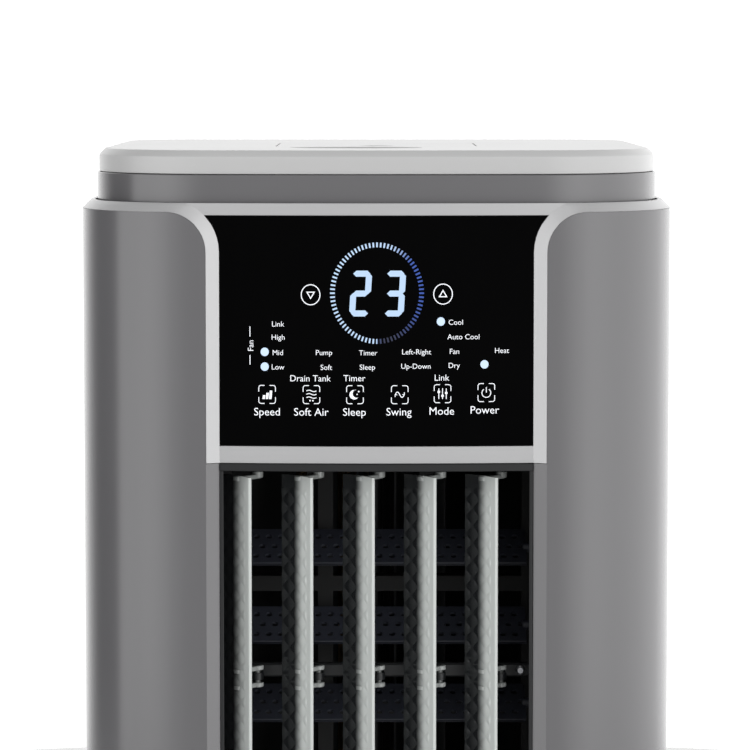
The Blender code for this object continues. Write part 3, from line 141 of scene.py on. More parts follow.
class CoolerFinishes(bpy.types.PropertyGroup):
    shell: colour("Shell", "Moulded plastic of the body", (0.105, 0.103, 0.108))
    lid: colour("Lid", "Moulded plastic of the lid and flap", (0.43, 0.43, 0.43))
    silver: colour("Trim", "Satin silver of the trim", (0.42, 0.42, 0.425))
    glass: colour("Panel", "Gloss black of the control panel", (0.0015, 0.0015, 0.0016))
    vane: colour("Vanes", "Satin plastic of the vanes", (0.52, 0.545, 0.53))
    blade: colour("Air blades", "Dark plastic of the perforated blades", (0.030, 0.033, 0.045))
    glow: colour("Display", "Light of the figures and lamps", (0.55, 0.74, 1.0))
    glow_deep: colour("Ring", "Light of the ring where it fades", (0.02, 0.08, 0.42))
    gloss: share("Shell roughness", "Roughness of the body's plastic", 0.22)


class CoolerStage(bpy.types.PropertyGroup):
    distance: length("Distance", "Camera to the object's middle", 2.0)
    lens: bpy.props.FloatProperty(name="Lens", description="Focal length in millimetres", default=157.47)
    height: length("Camera height", "Camera above the floor", 0.80398)
    aside: length("Camera aside", "Camera to the right of the object's middle", -0.00082)
    pitch: bpy.props.FloatProperty(
        name="Pitch", description="How far the camera looks down", default=math.radians(4.2527), subtype="ANGLE"
    )
    shift: bpy.props.FloatProperty(name="Shift", description="Upright shift of the lens", default=-0.0787)


def body():
    return bpy.context.scene.cooler_body


def outlet():
    return bpy.context.scene.cooler_outlet


def finishes():
    return bpy.context.scene.cooler_finishes


# ---- Shader building ----


class Value:
    """A shader socket that can stand in a sum."""

    def __init__(self, finish, socket):
        self.finish, self.socket = finish, socket

    def maths(self, operation, *others):
        return self.finish.maths(operation, self, *others)

    def __add__(self, other):
        return self.maths("ADD", other)

    __radd__ = __add__

    def __mul__(self, other):
        return self.maths("MULTIPLY", other)

    __rmul__ = __mul__

    def __sub__(self, other):
        return self.maths("SUBTRACT", other)

    def __rsub__(self, other):
        return self.finish.maths("SUBTRACT", other, self)

    def __truediv__(self, other):
        return self.maths("DIVIDE", other)

    def __pow__(self, other):
        return self.maths("POWER", other)

    def clipped(self):
        return self.finish.maths("ADD", self, 0.0, clamp=True)

    def step(self, low, high):
        """0 below low, 1 above high, and a soft change between."""
        made = self.finish.node(
            "ShaderNodeMapRange",
            {"interpolation_type": "SMOOTHSTEP"},
            {"Value": self, "From Min": low, "From Max": high},
        )
        return Value(self.finish, made.outputs["Result"])


class Finish:
    """Builds one node tree, for a material or the world."""

    def __init__(self, name, owner=None):
        self.owner = owner or bpy.data.materials.new(name)
        self.owner.use_nodes = True
        self.tree = self.owner.node_tree
        self.tree.nodes.clear()

    def node(self, kind, settings=None, inputs=None):
        made = self.tree.nodes.new(kind)
        for key, value in (settings or {}).items():
            if key == "stops":
                ramp = made.color_ramp
                while len(ramp.elements) < len(value):
                    ramp.elements.new(0.5)
                for element, (place, tone) in zip(ramp.elements, value):
                    element.position, element.color = place, (*tone, 1.0)
            else:
                setattr(made, key, value)
        for key, value in (inputs or {}).items():
            self.plug(made.inputs[key], value)
        return made

    def plug(self, socket, value):
        if isinstance(value, Value):
            value = value.socket
        if isinstance(value, bpy.types.NodeSocket):
            self.tree.links.new(value, socket)
        elif hasattr(value, "__len__") and len(value) == 3 and len(socket.default_value) == 4:
            socket.default_value = (*value, 1.0)
        else:
            socket.default_value = value

    def maths(self, operation, *values, clamp=False):
        made = self.node("ShaderNodeMath", {"operation": operation, "use_clamp": clamp}, dict(enumerate(values)))
        return Value(self, made.outputs[0])

    def place(self, centre=(0.0, 0.0, 0.0), stretch=(1.0, 1.0, 1.0)):
        """Object coordinates, from a centre and stretched."""
        source = self.node("ShaderNodeTexCoord").outputs["Object"]
        moved = self.node("ShaderNodeVectorMath", {"operation": "SUBTRACT"}, {0: source, 1: centre}).outputs[0]
        return self.node("ShaderNodeVectorMath", {"operation": "MULTIPLY"}, {0: moved, 1: stretch}).outputs[0]

    def axes(self, vector):
        made = self.node("ShaderNodeSeparateXYZ", None, {0: vector})
        return [Value(self, made.outputs[axis]) for axis in "XYZ"]

    def noise(self, vector, scale, detail=2.0, roughness=0.5):
        inputs = {"Vector": vector, "Scale": scale, "Detail": detail, "Roughness": roughness}
        return Value(self, self.node("ShaderNodeTexNoise", None, inputs).outputs[0])

    def blend(self, factor, first, second):
        made = self.node("ShaderNodeMix", {"data_type": "RGBA"}, {0: factor, 6: first, 7: second})
        return made.outputs[2]

    def bump(self, height, strength, distance, normal=None):
        inputs = {"Height": height, "Strength": strength, "Distance": distance}
        if normal is not None:
            inputs["Normal"] = normal
        return self.node("ShaderNodeBump", None, inputs).outputs[0]

    def close(self, **inputs):
        """The surface, from the Principled shader's sockets with _ for a space, joined to the output."""
        settings = {key.replace("_", " "): value for key, value in inputs.items()}
        shader = self.node("ShaderNodeBsdfPrincipled", None, settings)
        self.node("ShaderNodeOutputMaterial", None, {"Surface": shader.outputs[0]})
        return self.owner


def scaled(tone, amount):
    return tuple(min(1.0, c * amount) for c in tone)


def moulded(name, tone, roughness, grain=0.10, grain_size=0.0006, mottle=0.03, ior=1.5, metallic=0.0, wear=0.05,
            deep=None):
    """Moulded plastic: a fine grain, faint flow marks and uneven gloss; deep, where given, is a painted shade: the
    tone it darkens to where reach is low.
    """
    finish = Finish(name)
    place = finish.place()
    cloud = finish.noise(place, 14.0, 3.0)
    flow = finish.noise(finish.place(stretch=(1.0, 1.0, 0.15)), 90.0, 2.0)
    fine = finish.noise(place, 1.0 / grain_size, 2.0)
    tint = finish.blend((cloud * 0.7 + flow * 0.3).clipped(), scaled(tone, 1 - mottle), scaled(tone, 1 + mottle))
    rough = (fine - 0.5) * (wear * 0.8) + (cloud - 0.5) * wear + roughness
    # Painted shade: where the reach attribute is low the tone turns to deep.
    if deep:
        reach = Value(finish, finish.node("ShaderNodeAttribute", {"attribute_name": "reach"}).outputs["Fac"])
        tint = finish.blend(reach.step(0.36, 0.70), deep, tint)
    return finish.close(
        Base_Color=tint,
        Roughness=rough.clipped(),
        Metallic=metallic,
        IOR=ior,
        Normal=finish.bump(fine, grain, 0.00004),
    )


def brushed(name, tone, roughness, stretch, metallic=1.0):
    """Drawn metal, with fine lines along one axis."""
    finish = Finish(name)
    lines = finish.noise(finish.place(stretch=stretch), 1.0, 3.0)
    tint = finish.blend(lines, scaled(tone, 0.88), scaled(tone, 1.08))
    return finish.close(
        Base_Color=tint, Metallic=metallic, Roughness=(lines * 0.18 + roughness - 0.09).clipped(),
        Normal=finish.bump(lines, 0.15, 0.0001),
    )


def lamp(name, tone, strength, shade=None):
    """A lit mark behind the panel, a little uneven."""
    finish = Finish(name)
    glow = finish.noise(finish.place(), 400.0, 1.0)
    lit = shade(finish) if shade else finish.blend(glow, scaled(tone, 0.92), tone)
    return finish.close(
        Base_Color=(0.01, 0.01, 0.012), Roughness=0.5, Emission_Color=lit, Emission_Strength=strength
    )


def printed(name, tone, strength):
    """Ink on the panel, with a soft sheen and a painted glow: its emission makes the ink brighter than the light on
    it.
    """
    finish = Finish(name)
    fibre = finish.noise(finish.place(), 1500.0, 2.0)
    tint = finish.blend(fibre, scaled(tone, 0.9), tone)
    return finish.close(
        Base_Color=tint, Roughness=(fibre * 0.1 + 0.45).clipped(), Emission_Color=tint, Emission_Strength=strength
    )


def striped(name, tone, dark, axis, pitch, roughness, depth=0.0006, wobble=0.0):
    """Flutes or mesh: grooves across one or two axes, painted darker as a painted shade in them."""
    finish = Finish(name)
    wave = finish.noise(finish.place(), 60.0, 2.0)
    total = None
    for each in axis:
        along = finish.axes(finish.place())["XYZ".index(each)] + (wave - 0.5) * wobble
        groove = (along * (math.tau / pitch)).maths("SINE") * 0.5 + 0.5
        total = groove if total is None else total.maths("MINIMUM", groove)
    fine = finish.noise(finish.place(), 900.0, 2.0)
    # Painted shade: the grooves take the dark tone.
    tint = finish.blend((total * 0.8 + fine * 0.3).clipped(), dark, tone)
    return finish.close(
        Base_Color=tint, Roughness=(fine * 0.1 + roughness).clipped(), Normal=finish.bump(total, 0.8, depth)
    )


def make_finishes():
    """Every material, by name."""
    tones = finishes()
    ring = ring_place()

    def ring_shade(finish):
        across, _, up = finish.axes(finish.place(centre=ring))
        turn = across.maths("ARCTAN2", up)  # 0 at the top, up to half a turn at the right
        right = across.step(-0.004, 0.004)
        fade = turn.step(math.radians(95), math.radians(165)) * right
        deep = (turn.step(math.radians(8), math.radians(50)) * right).clipped()
        lit = finish.blend(deep, scaled(tones.glow, 0.95), tones.glow_deep)
        return finish.blend(fade, lit, scaled(tones.glow_deep, 0.10))

    made = {
        "shell": moulded("shell_plastic", tones.shell, tones.gloss, grain=0.02, ior=1.6, mottle=0.015, wear=0.03),
        "lid": moulded("lid_plastic", tones.lid, 0.34, grain=0.04, mottle=0.012, wear=0.04),
        "silver": moulded(
            "trim_satin_silver", tones.silver, 0.32, grain=0.03, metallic=0.25, mottle=0.012, wear=0.04
        ),
        "glass": moulded("panel_gloss_black", tones.glass, 0.08, grain=0.0, ior=1.06, mottle=0.3, wear=0.02),
        # The vanes carry a painted shade: their rear parts darken to the deep tone, standing in for the shade inside
        # the outlet.
        "vane": moulded("vane_satin_plastic", tones.vane, 0.17, grain=0.03, mottle=0.02, wear=0.04, ior=1.55,
                        deep=(0.012, 0.013, 0.014)),
        "blade": moulded("blade_dark_plastic", tones.blade, 0.42, grain=0.25, grain_size=0.0008, mottle=0.10),
        "duct": moulded("duct_black_plastic", (0.0012, 0.0013, 0.0015), 0.65, grain=0.3, mottle=0.2),
        "mech": moulded("mechanism_dark_plastic", (0.011, 0.012, 0.013), 0.38, grain=0.2, mottle=0.10),
        "bezel": moulded("bezel_dark_plastic", (0.006, 0.0065, 0.0075), 0.30, grain=0.1, mottle=0.08),
        "metal": brushed("motor_drawn_steel", (0.52, 0.53, 0.55), 0.36, (60.0, 60.0, 2500.0)),
        "fin": brushed("heater_aluminium", (0.62, 0.62, 0.63), 0.40, (2200.0, 40.0, 40.0)),
        "rubber": moulded("castor_rubber", (0.012, 0.012, 0.013), 0.62, grain=0.5, mottle=0.2, wear=0.12),
        "hub": moulded("castor_nylon", (0.040, 0.040, 0.042), 0.45, grain=0.3, mottle=0.1),
        "tank": moulded("tank_polypropylene", (0.62, 0.63, 0.62), 0.38, grain=0.15, mottle=0.03, ior=1.49),
        "pump": moulded("pump_black_plastic", (0.010, 0.010, 0.011), 0.40, grain=0.3, mottle=0.2),
        "board": striped("circuit_board", (0.02, 0.16, 0.07), (0.01, 0.09, 0.04), "X", 0.0031, 0.5, 0.0001, 0.003),
        "pad": striped("pad_fibre", (0.34, 0.22, 0.11), (0.12, 0.07, 0.03), "X", 0.0070, 0.85, 0.0020, 0.004),
        "filter": striped("filter_mesh", (0.035, 0.036, 0.038), (0.006, 0.006, 0.007), "XZ", 0.0024, 0.6, 0.0004),
        "clear": moulded("clear_blue_plastic", (0.30, 0.44, 0.58), 0.12, grain=0.02, mottle=0.05),
        # The ink's emission is a painted glow.
        "print": printed("panel_white_ink", (0.80, 0.82, 0.86), 0.35),
        "lamp": lamp("display_light", tones.glow, 1.0),
        "spot": lamp("lamp_light", (0.62, 0.78, 1.0), 1.15),
        "ring": lamp("ring_light", tones.glow, 1.0, ring_shade),
    }
    return made


FINISH = {}


def finish_of(key):
    if not FINISH:
        FINISH.update(make_finishes())
    return FINISH[key]


# ---- Meshes ----


def mesh_of(bm, name="part"):
    mesh = bpy.data.meshes.new(name)
    bm.to_mesh(mesh)
    bm.free()
    return mesh


def sheet(grid, flip=False):
    """A mesh from rows of points; None leaves a gap, and a quad needs its four corners."""
    bm = bmesh.new()
    rows = [[bm.verts.new(p) if p is not None else None for p in row] for row in grid]
    for low, high in zip(rows, rows[1:]):
        for a, b, c, d in zip(low, low[1:], high[1:], high):
            if None not in (a, b, c, d):
                bm.faces.new((a, d, c, b) if flip else (a, b, c, d))
    return mesh_of(bm)


def loft(loops, closed=False, caps=True):
    """A skin over closed loops of the same count, bottom to top or outside to inside, with its ends filled."""
    bm = bmesh.new()
    rings = [[bm.verts.new(p) for p in loop] for loop in loops]
    pairs = list(zip(rings, rings[1:])) + ([(rings[-1], rings[0])] if closed else [])
    for low, high in pairs:
        count = len(low)
        for i in range(count):
            j = (i + 1) % count
            bm.faces.new((low[i], low[j], high[j], high[i]))
    if caps and not closed:
        bm.faces.new(list(reversed(rings[0])))
        bm.faces.new(rings[-1])
    bmesh.ops.remove_doubles(bm, verts=bm.verts, dist=0.000001)
    bmesh.ops.recalc_face_normals(bm, faces=bm.faces)
    return mesh_of(bm)


def lathe(profile, steps=48, along="Z", at=(0, 0, 0)):
    """A profile of (radius, height) points turned about an axis through a point."""
    loops = []
    for radius, rise in profile:
        turn = [math.tau * i / steps for i in range(steps)]
        loops.append([(max(radius, 1e-6) * math.cos(a), max(radius, 1e-6) * math.sin(a), rise) for a in turn])
    made = loft(loops)
    turns = {
        "Z": Matrix.Identity(4), "X": Matrix.Rotation(math.pi / 2, 4, "Y"), "Y": Matrix.Rotation(-math.pi / 2, 4, "X")
    }
    made.transform(Matrix.Translation(at) @ turns[along])
    return made


def drum(radius, length_, edge=0.0003):
    """The profile of a short round bar with eased ends, from 0 up."""
    low, high = [(0, 0), (radius - edge, 0), (radius, edge)], [(radius, length_ - edge), (radius - edge, length_)]
    return [*low, *high, (0, length_)]


def rod(radius, start, end, sides=20, edge=0.0003):
    """A round bar between two points."""
    start, end = Vector(start), Vector(end)
    way = end - start
    made = lathe(drum(radius, way.length, min(edge, radius / 2)), sides)
    made.transform(Matrix.Translation(start) @ way.to_track_quat("Z", "Y").to_matrix().to_4x4())
    return made


def slab(loops, low, high):
    """Outlines in plan, with holes where one lies inside another, from one height to another."""
    curve = bpy.data.curves.new("outline", "CURVE")
    curve.dimensions = "2D"
    curve.fill_mode = "BOTH"
    curve.extrude = (high - low) / 2
    for loop in loops:
        spline = curve.splines.new("POLY")
        spline.points.add(len(loop) - 1)
        for point, (x, y) in zip(spline.points, loop):
            point.co = (x, y, 0.0, 1.0)
        spline.use_cyclic_u = True
    mesh = curve_mesh(curve)
    mesh.transform(Matrix.Translation((0, 0, (low + high) / 2)))
    return mesh


def upright(mesh):
    """Turns a mesh made in plan to stand facing the front, its X and Y becoming X and Z."""
    mesh.transform(Matrix.Rotation(math.pi / 2, 4, "X"))
    return mesh


def sideways(mesh):
    """Turns a mesh made in plan to face the side, its X and Y becoming Y and Z."""
    turn = Matrix(((0, 0, 1, 0), (1, 0, 0, 0), (0, 1, 0, 0), (0, 0, 0, 1)))
    mesh.transform(turn)
    return mesh


def curve_mesh(curve):
    """A curve or text as a welded mesh."""
    holder = bpy.data.objects.new("holder", curve)
    bpy.context.scene.collection.objects.link(holder)
    graph = bpy.context.evaluated_depsgraph_get()
    mesh = bpy.data.meshes.new_from_object(holder.evaluated_get(graph))
    bpy.data.objects.remove(holder, do_unlink=True)
    bpy.data.curves.remove(curve)
    bm = bmesh.new()
    bm.from_mesh(mesh)
    bmesh.ops.remove_doubles(bm, verts=bm.verts, dist=0.000002)
    bmesh.ops.dissolve_degenerate(bm, edges=bm.edges, dist=0.000001)
    bmesh.ops.recalc_face_normals(bm, faces=bm.faces)
    bm.to_mesh(mesh)
    bm.free()
    return mesh


def round_rect(half_x, half_y, radius, steps=6, centre=(0.0, 0.0)):
    """A rectangle with round corners, anticlockwise."""
    points = []
    for turn, (sx, sy) in enumerate(((1, 1), (-1, 1), (-1, -1), (1, -1))):
        for i in range(steps + 1):
            a = math.radians(90 * turn + 90 * i / steps)
            x = sx * (half_x - radius) + radius * math.cos(a)
            y = sy * (half_y - radius) + radius * math.sin(a)
            points.append((centre[0] + x, centre[1] + y))
    return points


def block(low, high, radius=0.0008, edge=0.0003):
    """A box with round upright corners and eased ends."""
    low, high = Vector(low), Vector(high)
    half = (high - low) / 2
    centre = (low + high) / 2
    levels = ((low.z, edge), (low.z + edge, 0.0), (high.z - edge, 0.0), (high.z, edge))
    radius = min(radius, half.x * 0.98, half.y * 0.98)
    loops = []
    for z, inset in levels:
        loop = round_rect(half.x - inset, half.y - inset, max(radius - inset, 0.00005), 4, centre.xy)
        loops.append([(x, y, z) for x, y in loop])
    return loft(loops)


def joined(*meshes):
    bm = bmesh.new()
    for mesh in meshes:
        bm.from_mesh(mesh)
    return mesh_of(bm)


def moved(mesh, x=0.0, y=0.0, z=0.0, turn=0.0, axis="Z"):
    mesh.transform(Matrix.Translation((x, y, z)) @ Matrix.Rotation(turn, 4, axis))
    return mesh


def piece(name, mesh, *modifiers):
    """An object at the origin, with its modifiers, each a (kind, settings) pair, turned into plain mesh."""
    made = bpy.data.objects.new(name, mesh)
    bpy.context.scene.collection.objects.link(made)
    for kind, settings in modifiers:
        added = made.modifiers.new(kind.title(), kind)
        for key, value in settings.items():
            setattr(added, key, value)
    return plain(made) if modifiers else made


def plain(made):
    """The object with what its modifiers do kept in its mesh."""
    graph = bpy.context.evaluated_depsgraph_get()
    mesh = bpy.data.meshes.new_from_object(made.evaluated_get(graph))
    made.modifiers.clear()
    made.data = mesh
    return made


def carve(target, *tools):
    """Takes closed meshes away from a piece."""
    for tool in tools:
        holder = bpy.data.objects.new("tool", tool)
        bpy.context.scene.collection.objects.link(holder)
        modifier = target.modifiers.new("Cut", "BOOLEAN")
        modifier.operation = "DIFFERENCE"
        modifier.solver = "EXACT"
        modifier.object = holder
        plain(target)
        bpy.data.objects.remove(holder, do_unlink=True)
    return target


def thick(amount, inward=True):
    settings = {"thickness": amount, "offset": -1.0 if inward else 1.0, "use_even_offset": True}
    return "SOLIDIFY", settings


def eased(width, angle=35.0, segments=2):
    settings = {"width": width, "segments": segments, "limit_method": "ANGLE", "angle_limit": math.radians(angle)}
    settings["use_clamp_overlap"] = True
    return "BEVEL", settings


def ready(made, finish, body_name, slot, *replaced, angle=SHARP_ANGLE):
    """Gives a piece its finish, its smooth and sharp edges, the body it rides on and the CAD nodes it stands for."""
    made.data.materials.clear()
    made.data.materials.append(finish_of(finish))
    for polygon in made.data.polygons:
        polygon.material_index = 0
    made.data.shade_smooth()
    made.data.set_sharp_from_angle(angle=math.radians(angle))
    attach(made, body_name)
    if replaced:
        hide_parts(*replaced)
    return made


# ---- The body's plan ----


def bow():
    """Radii and centres of the front: its bow, then its corner."""
    sizes = body()
    bow_y = -BODY_DEPTH / 2 + sizes.front_radius
    corner_x = BODY_WIDTH / 2 - sizes.corner_radius
    reach = sizes.front_radius - sizes.corner_radius
    corner_y = bow_y - math.sqrt(reach**2 - corner_x**2)
    return bow_y, corner_x, corner_y, math.asin(corner_x / reach)


def front_y(x, inset=0.0):
    """Where the front lies at x, on the line that runs inset behind it."""
    sizes = body()
    bow_y, corner_x, corner_y, lean = bow()
    x = abs(x)
    radius = sizes.front_radius - inset
    if x <= radius * math.sin(lean):
        return bow_y - math.sqrt(radius**2 - x**2)
    corner = sizes.corner_radius - inset
    return corner_y - math.sqrt(max(corner**2 - (x - corner_x) ** 2, 0.0))


def side_stations(start_x, inset=0.0, steps=CORNER_STEPS):
    """Points along the right side in plan: from x on the front's corner, round it and back to the seam."""
    sizes = body()
    _, corner_x, corner_y, _ = bow()
    radius = sizes.corner_radius - inset
    first = math.acos(min(1.0, (start_x - corner_x) / sizes.corner_radius))
    points = []
    for i in range(steps + 1):
        a = -first * (1 - i / steps)
        points.append((corner_x + radius * math.cos(a), corner_y + radius * math.sin(a)))
    half = BODY_WIDTH / 2 - inset
    points += [(half, y) for y in (corner_y + 0.002, 0.5 * (corner_y + SEAM_Y), SEAM_Y - 0.002, SEAM_Y)]
    return points


def plan(width, depth, inset=0.0):
    """The whole plan as a loop: bowed front, wide front corners, tighter rear ones, always with the same count."""
    sizes = body()
    half = width / 2
    bow_y = -depth / 2 + sizes.front_radius
    corner_x = half - sizes.corner_radius
    reach = sizes.front_radius - sizes.corner_radius
    corner_y = bow_y - math.sqrt(reach**2 - corner_x**2)
    lean = math.asin(corner_x / reach)
    arcs = [
        ((0.0, bow_y), sizes.front_radius, -math.pi / 2, -math.pi / 2 + lean, EVEN_STEPS),
        ((corner_x, corner_y), sizes.corner_radius, -math.pi / 2 + lean, 0.0, CORNER_STEPS),
        (
            (half - sizes.rear_radius, depth / 2 - sizes.rear_radius), sizes.rear_radius,
            0.0, math.pi / 2, CORNER_STEPS,
        ),
    ]
    right = []
    for (cx, cy), radius, start, end, steps in arcs:
        for i in range(steps + 1):
            a = start + (end - start) * i / steps
            point = (cx + (radius - inset) * math.cos(a), cy + (radius - inset) * math.sin(a))
            if not right or math.dist(point, right[-1]) > 1e-7:
                right.append(point)
    left = [(-x, y) for x, y in reversed(right[1:])]
    return right + left


def body_plan(inset=0.0):
    return plan(BODY_WIDTH, BODY_DEPTH, inset)


def lid_size():
    low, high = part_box("top_lid")
    return high.x - low.x, high.y - low.y


def lid_plan(inset=0.0):
    return plan(*lid_size(), inset)


def at_height(loop, z):
    return [(x, y, z) for x, y in loop]


# ---- Shoulders, strips and trim ----


def shoulder_centre():
    sizes = body()
    return PANEL_HALF + sizes.strip + sizes.shoulder, BAND_Z - sizes.shoulder


def glass_edge(z):
    """How far out the panel's field reaches at a height."""
    sizes = body()
    cx, cz = shoulder_centre()
    if z <= cz:
        return PANEL_HALF
    return cx - math.sqrt((sizes.shoulder + sizes.strip) ** 2 - (z - cz) ** 2)


def mirrored(grid, side):
    return [[None if p is None else (side * p[0], p[1], p[2]) for p in row] for row in grid]


def wing_grid():
    """The right wing: beside the outlet a slope leads in, and above it the wing ends along the shoulder."""
    sizes = body()
    cx, cz = shoulder_centre()
    slit = 0.0002
    radius = sizes.shoulder - slit
    xs = [cx - radius * math.cos(math.radians(a)) for a in (0, 4, 9, 15, 22, 30, 39, 49, 60, 72, 84)]
    stations = [(x, front_y(x)) for x in xs] + side_stations(cx)
    fade = 0.012
    lower = [SKIRT_Z, OUTLET_FOOT - fade] + [OUTLET_FOOT - fade + fade * k / 4 for k in range(1, 5)]
    lower += [OUTLET_TOP - 0.0003]
    grid = []
    for z in lower:
        depth = sizes.sink * min(1.0, max(0.0, (z - OUTLET_FOOT + fade) / fade))
        inner = (PANEL_HALF, front_y(PANEL_HALF, depth), z)
        grid.append([inner] + [(x, y, z) for x, y in stations])
    grid.append([None] + [(x, y, cz) for x, y in stations])
    top = BAND_Z - SEAM
    arched = [cz + math.sqrt(max(radius**2 - (cx - x) ** 2, 0.0)) if x < cx else top for x, _ in stations]
    grid.append([None] + [(x, y, min(z, top)) for (x, y), z in zip(stations, arched)])
    return grid


def build_wing(side, name):
    sizes = body()
    made = piece(f"{name}_fine", sheet(mirrored(wing_grid(), side), flip=side < 0))
    low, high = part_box("side_grip_right")
    reach = (high.x - low.x) * 2
    half_y, half_z = (high.y - low.y) / 2 + SEAM, (high.z - low.z) / 2 + SEAM
    bm = bmesh.new()
    bm.from_mesh(made.data)
    bmesh.ops.remove_doubles(bm, verts=bm.verts, dist=0.00001)
    bm.to_mesh(made.data)
    bm.free()
    for kind, settings in (thick(sizes.wall),):
        added = made.modifiers.new(kind.title(), kind)
        for key, value in settings.items():
            setattr(added, key, value)
    plain(made)
    hole = slab([round_rect(half_y, half_z, 0.006, 6, ((low.y + high.y) / 2, (low.z + high.z) / 2))], -reach, reach)
    sideways(hole)
    hole.transform(Matrix.Translation((side * BODY_WIDTH / 2, 0, 0)))
    carve(made, hole)
    added = made.modifiers.new("Ease", "BEVEL")
    for key, value in eased(sizes.edge, 50.0)[1].items():
        setattr(added, key, value)
    plain(made)
    return ready(made, "shell", "cabinet", "shell_grey", name)


def strip_rows():
    """The right-hand slope, from the foot of the panel up and out along the shoulder, as outer and inner points."""
    sizes = body()
    cx, cz = shoulder_centre()
    far = sizes.shoulder + sizes.strip
    run_out = math.degrees(math.asin((BODY_TOP - cz) / far))
    turn_in = math.degrees(math.asin((PANEL_TOP - cz) / far))
    turns = sorted({0.0, 8.0, 16.0, 24.0, 32.0, turn_in, 50.0, 58.0, run_out, 70.0, 75.0, 80.0, 85.0, 90.0})
    rows = [((cx - sizes.shoulder, z, 0.0), (PANEL_HALF, z, sizes.sink)) for z in (OUTLET_TOP, PANEL_FOOT)]
    for turn in turns:
        a = math.radians(turn)
        reach = min(far, (BODY_TOP - cz) / math.sin(a)) if turn else far
        past = max(0.0, (turn - run_out) / (90 - run_out))
        depth = sizes.sink + (sizes.band - sizes.sink) * past
        outer = (cx - sizes.shoulder * math.cos(a), cz + sizes.shoulder * math.sin(a), 0.0)
        inner = (cx - reach * math.cos(a), cz + reach * math.sin(a), depth)
        rows.append((outer, inner))
    return rows


def on_front(x, z, depth):
    return (x, front_y(x, depth), z)


def build_trim():
    """The sloped strips, the bars over and under the glass, and the band round the top."""
    sizes = body()
    cx, _ = shoulder_centre()
    rows = strip_rows()
    parts = []
    for side in (1, -1):
        slope = []
        for outer, inner in rows:
            line = []
            for k in range(4):
                x, z, depth = (inner[n] + (outer[n] - inner[n]) * k / 3 for n in range(3))
                line.append(on_front(x, z, depth))
            slope.append(line)
        outer_line = side_stations(cx)
        inner_line = side_stations(cx, sizes.band)
        back_line = side_stations(cx, sizes.trim_wall)
        band = [
            [(x, y, BAND_Z) for x, y in outer_line],
            [((x + u) / 2, (y + v) / 2, (BAND_Z + BODY_TOP) / 2) for (x, y), (u, v) in zip(outer_line, inner_line)],
            [(x, y, BODY_TOP) for x, y in inner_line],
            [(x, y, BODY_TOP) for x, y in back_line],
        ]
        ledge_rows = [inner for _, inner in rows if inner[1] > BODY_TOP - 1e-6]
        ledge = [
            [on_front(x, BODY_TOP, depth) for x, z, depth in ledge_rows],
            [on_front(x, BODY_TOP, sizes.trim_wall) for x, z, depth in ledge_rows],
        ]
        parts.append(sheet(mirrored(slope, side), flip=side < 0))
        parts.append(sheet(mirrored(band, side), flip=side < 0))
        parts.append(sheet(mirrored(ledge, side), flip=side < 0))
    shares = [k / 12 for k in range(-12, 13)]
    high_rows = sorted({inner[1] for _, inner in rows if inner[1] > PANEL_TOP - 1e-6})
    for levels in ((OUTLET_TOP, PANEL_FOOT), high_rows):
        parts.append(sheet([[on_front(glass_edge(z) * s, z, sizes.sink) for s in shares] for z in levels]))
    top_edge = [on_front(glass_edge(BODY_TOP) * s, BODY_TOP, sizes.sink) for s in shares]
    parts.append(sheet([top_edge, [on_front(p[0], BODY_TOP, sizes.trim_wall) for p in top_edge]]))
    bm = bmesh.new()
    for part in parts:
        bm.from_mesh(part)
    bmesh.ops.remove_doubles(bm, verts=bm.verts, dist=0.00002)
    made = piece("trim_frame_fine", mesh_of(bm), thick(0.0022), eased(0.00035, 40.0))
    return ready(made, "silver", "cabinet", "trim_silver", "trim_frame")


def build_glass():
    sizes = body()
    _, cz = shoulder_centre()
    inset = 0.00035
    levels = [PANEL_FOOT + inset, cz] + [cz + (PANEL_TOP - inset - cz) * k / 6 for k in range(1, 7)]
    shares = [k / 16 for k in range(-16, 17)]
    grid = [[on_front((glass_edge(z) - inset) * s, z, sizes.sink + 0.0001) for s in shares] for z in levels]
    made = piece("control_glass_fine", sheet(grid), thick(0.0028), eased(0.0003, 50.0))
    return ready(made, "glass", "cabinet", "glass_black", "control_glass")


def build_rear():
    sizes = body()
    made = piece("rear_shell_fine", slab([body_plan(), body_plan(sizes.wall)], SKIRT_Z, BODY_TOP))
    far = 1.0
    front = joined(block((-far, -far, -far), (far, SEAM_Y + SEAM, far), edge=0.0))
    low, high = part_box("rear_grille")
    centre = ((low.x + high.x) / 2, (low.z + high.z) / 2)
    window = [round_rect((high.x - low.x) / 2 + SEAM, (high.z - low.z) / 2 + SEAM, 0.006, 6, centre)]
    low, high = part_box("water_tank")
    centre = ((low.x + high.x) / 2, (low.z + high.z) / 2)
    bay = [round_rect((high.x - low.x) / 2 + 0.0008, (high.z - low.z) / 2 + 0.0008, 0.002, 4, centre)]
    low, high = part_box("power_inlet")
    centre = ((low.x + high.x) / 2, (low.z + high.z) / 2)
    inlet = [round_rect((high.x - low.x) / 2 + SEAM, (high.z - low.z) / 2 + SEAM, 0.002, 4, centre)]
    depth = sizes.wall * 3
    tools = [moved(upright(slab(loops, -depth, depth)), y=BODY_DEPTH / 2) for loops in (window, bay, inlet)]
    carve(made, front, *tools)
    for kind, settings in (eased(sizes.edge, 50.0),):
        added = made.modifiers.new("Ease", kind)
        for key, value in settings.items():
            setattr(added, key, value)
    plain(made)
    return ready(made, "shell", "cabinet", "shell_grey", "rear_shell")


def build_cover():
    """The plain cover under the outlet."""
    low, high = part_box("front_lower_cover")
    shares = [k / 16 for k in range(-16, 17)]
    levels = [low.z + (high.z - low.z) * k / 4 for k in range(5)]
    grid = [[on_front(high.x * s, z, 0.0) for s in shares] for z in levels]
    made = piece("front_lower_cover_fine", sheet(grid), thick(body().wall), eased(body().edge, 50.0))
    return ready(made, "shell", "cabinet", "shell_grey", "front_lower_cover")


# ---- Neck, lid and flap ----


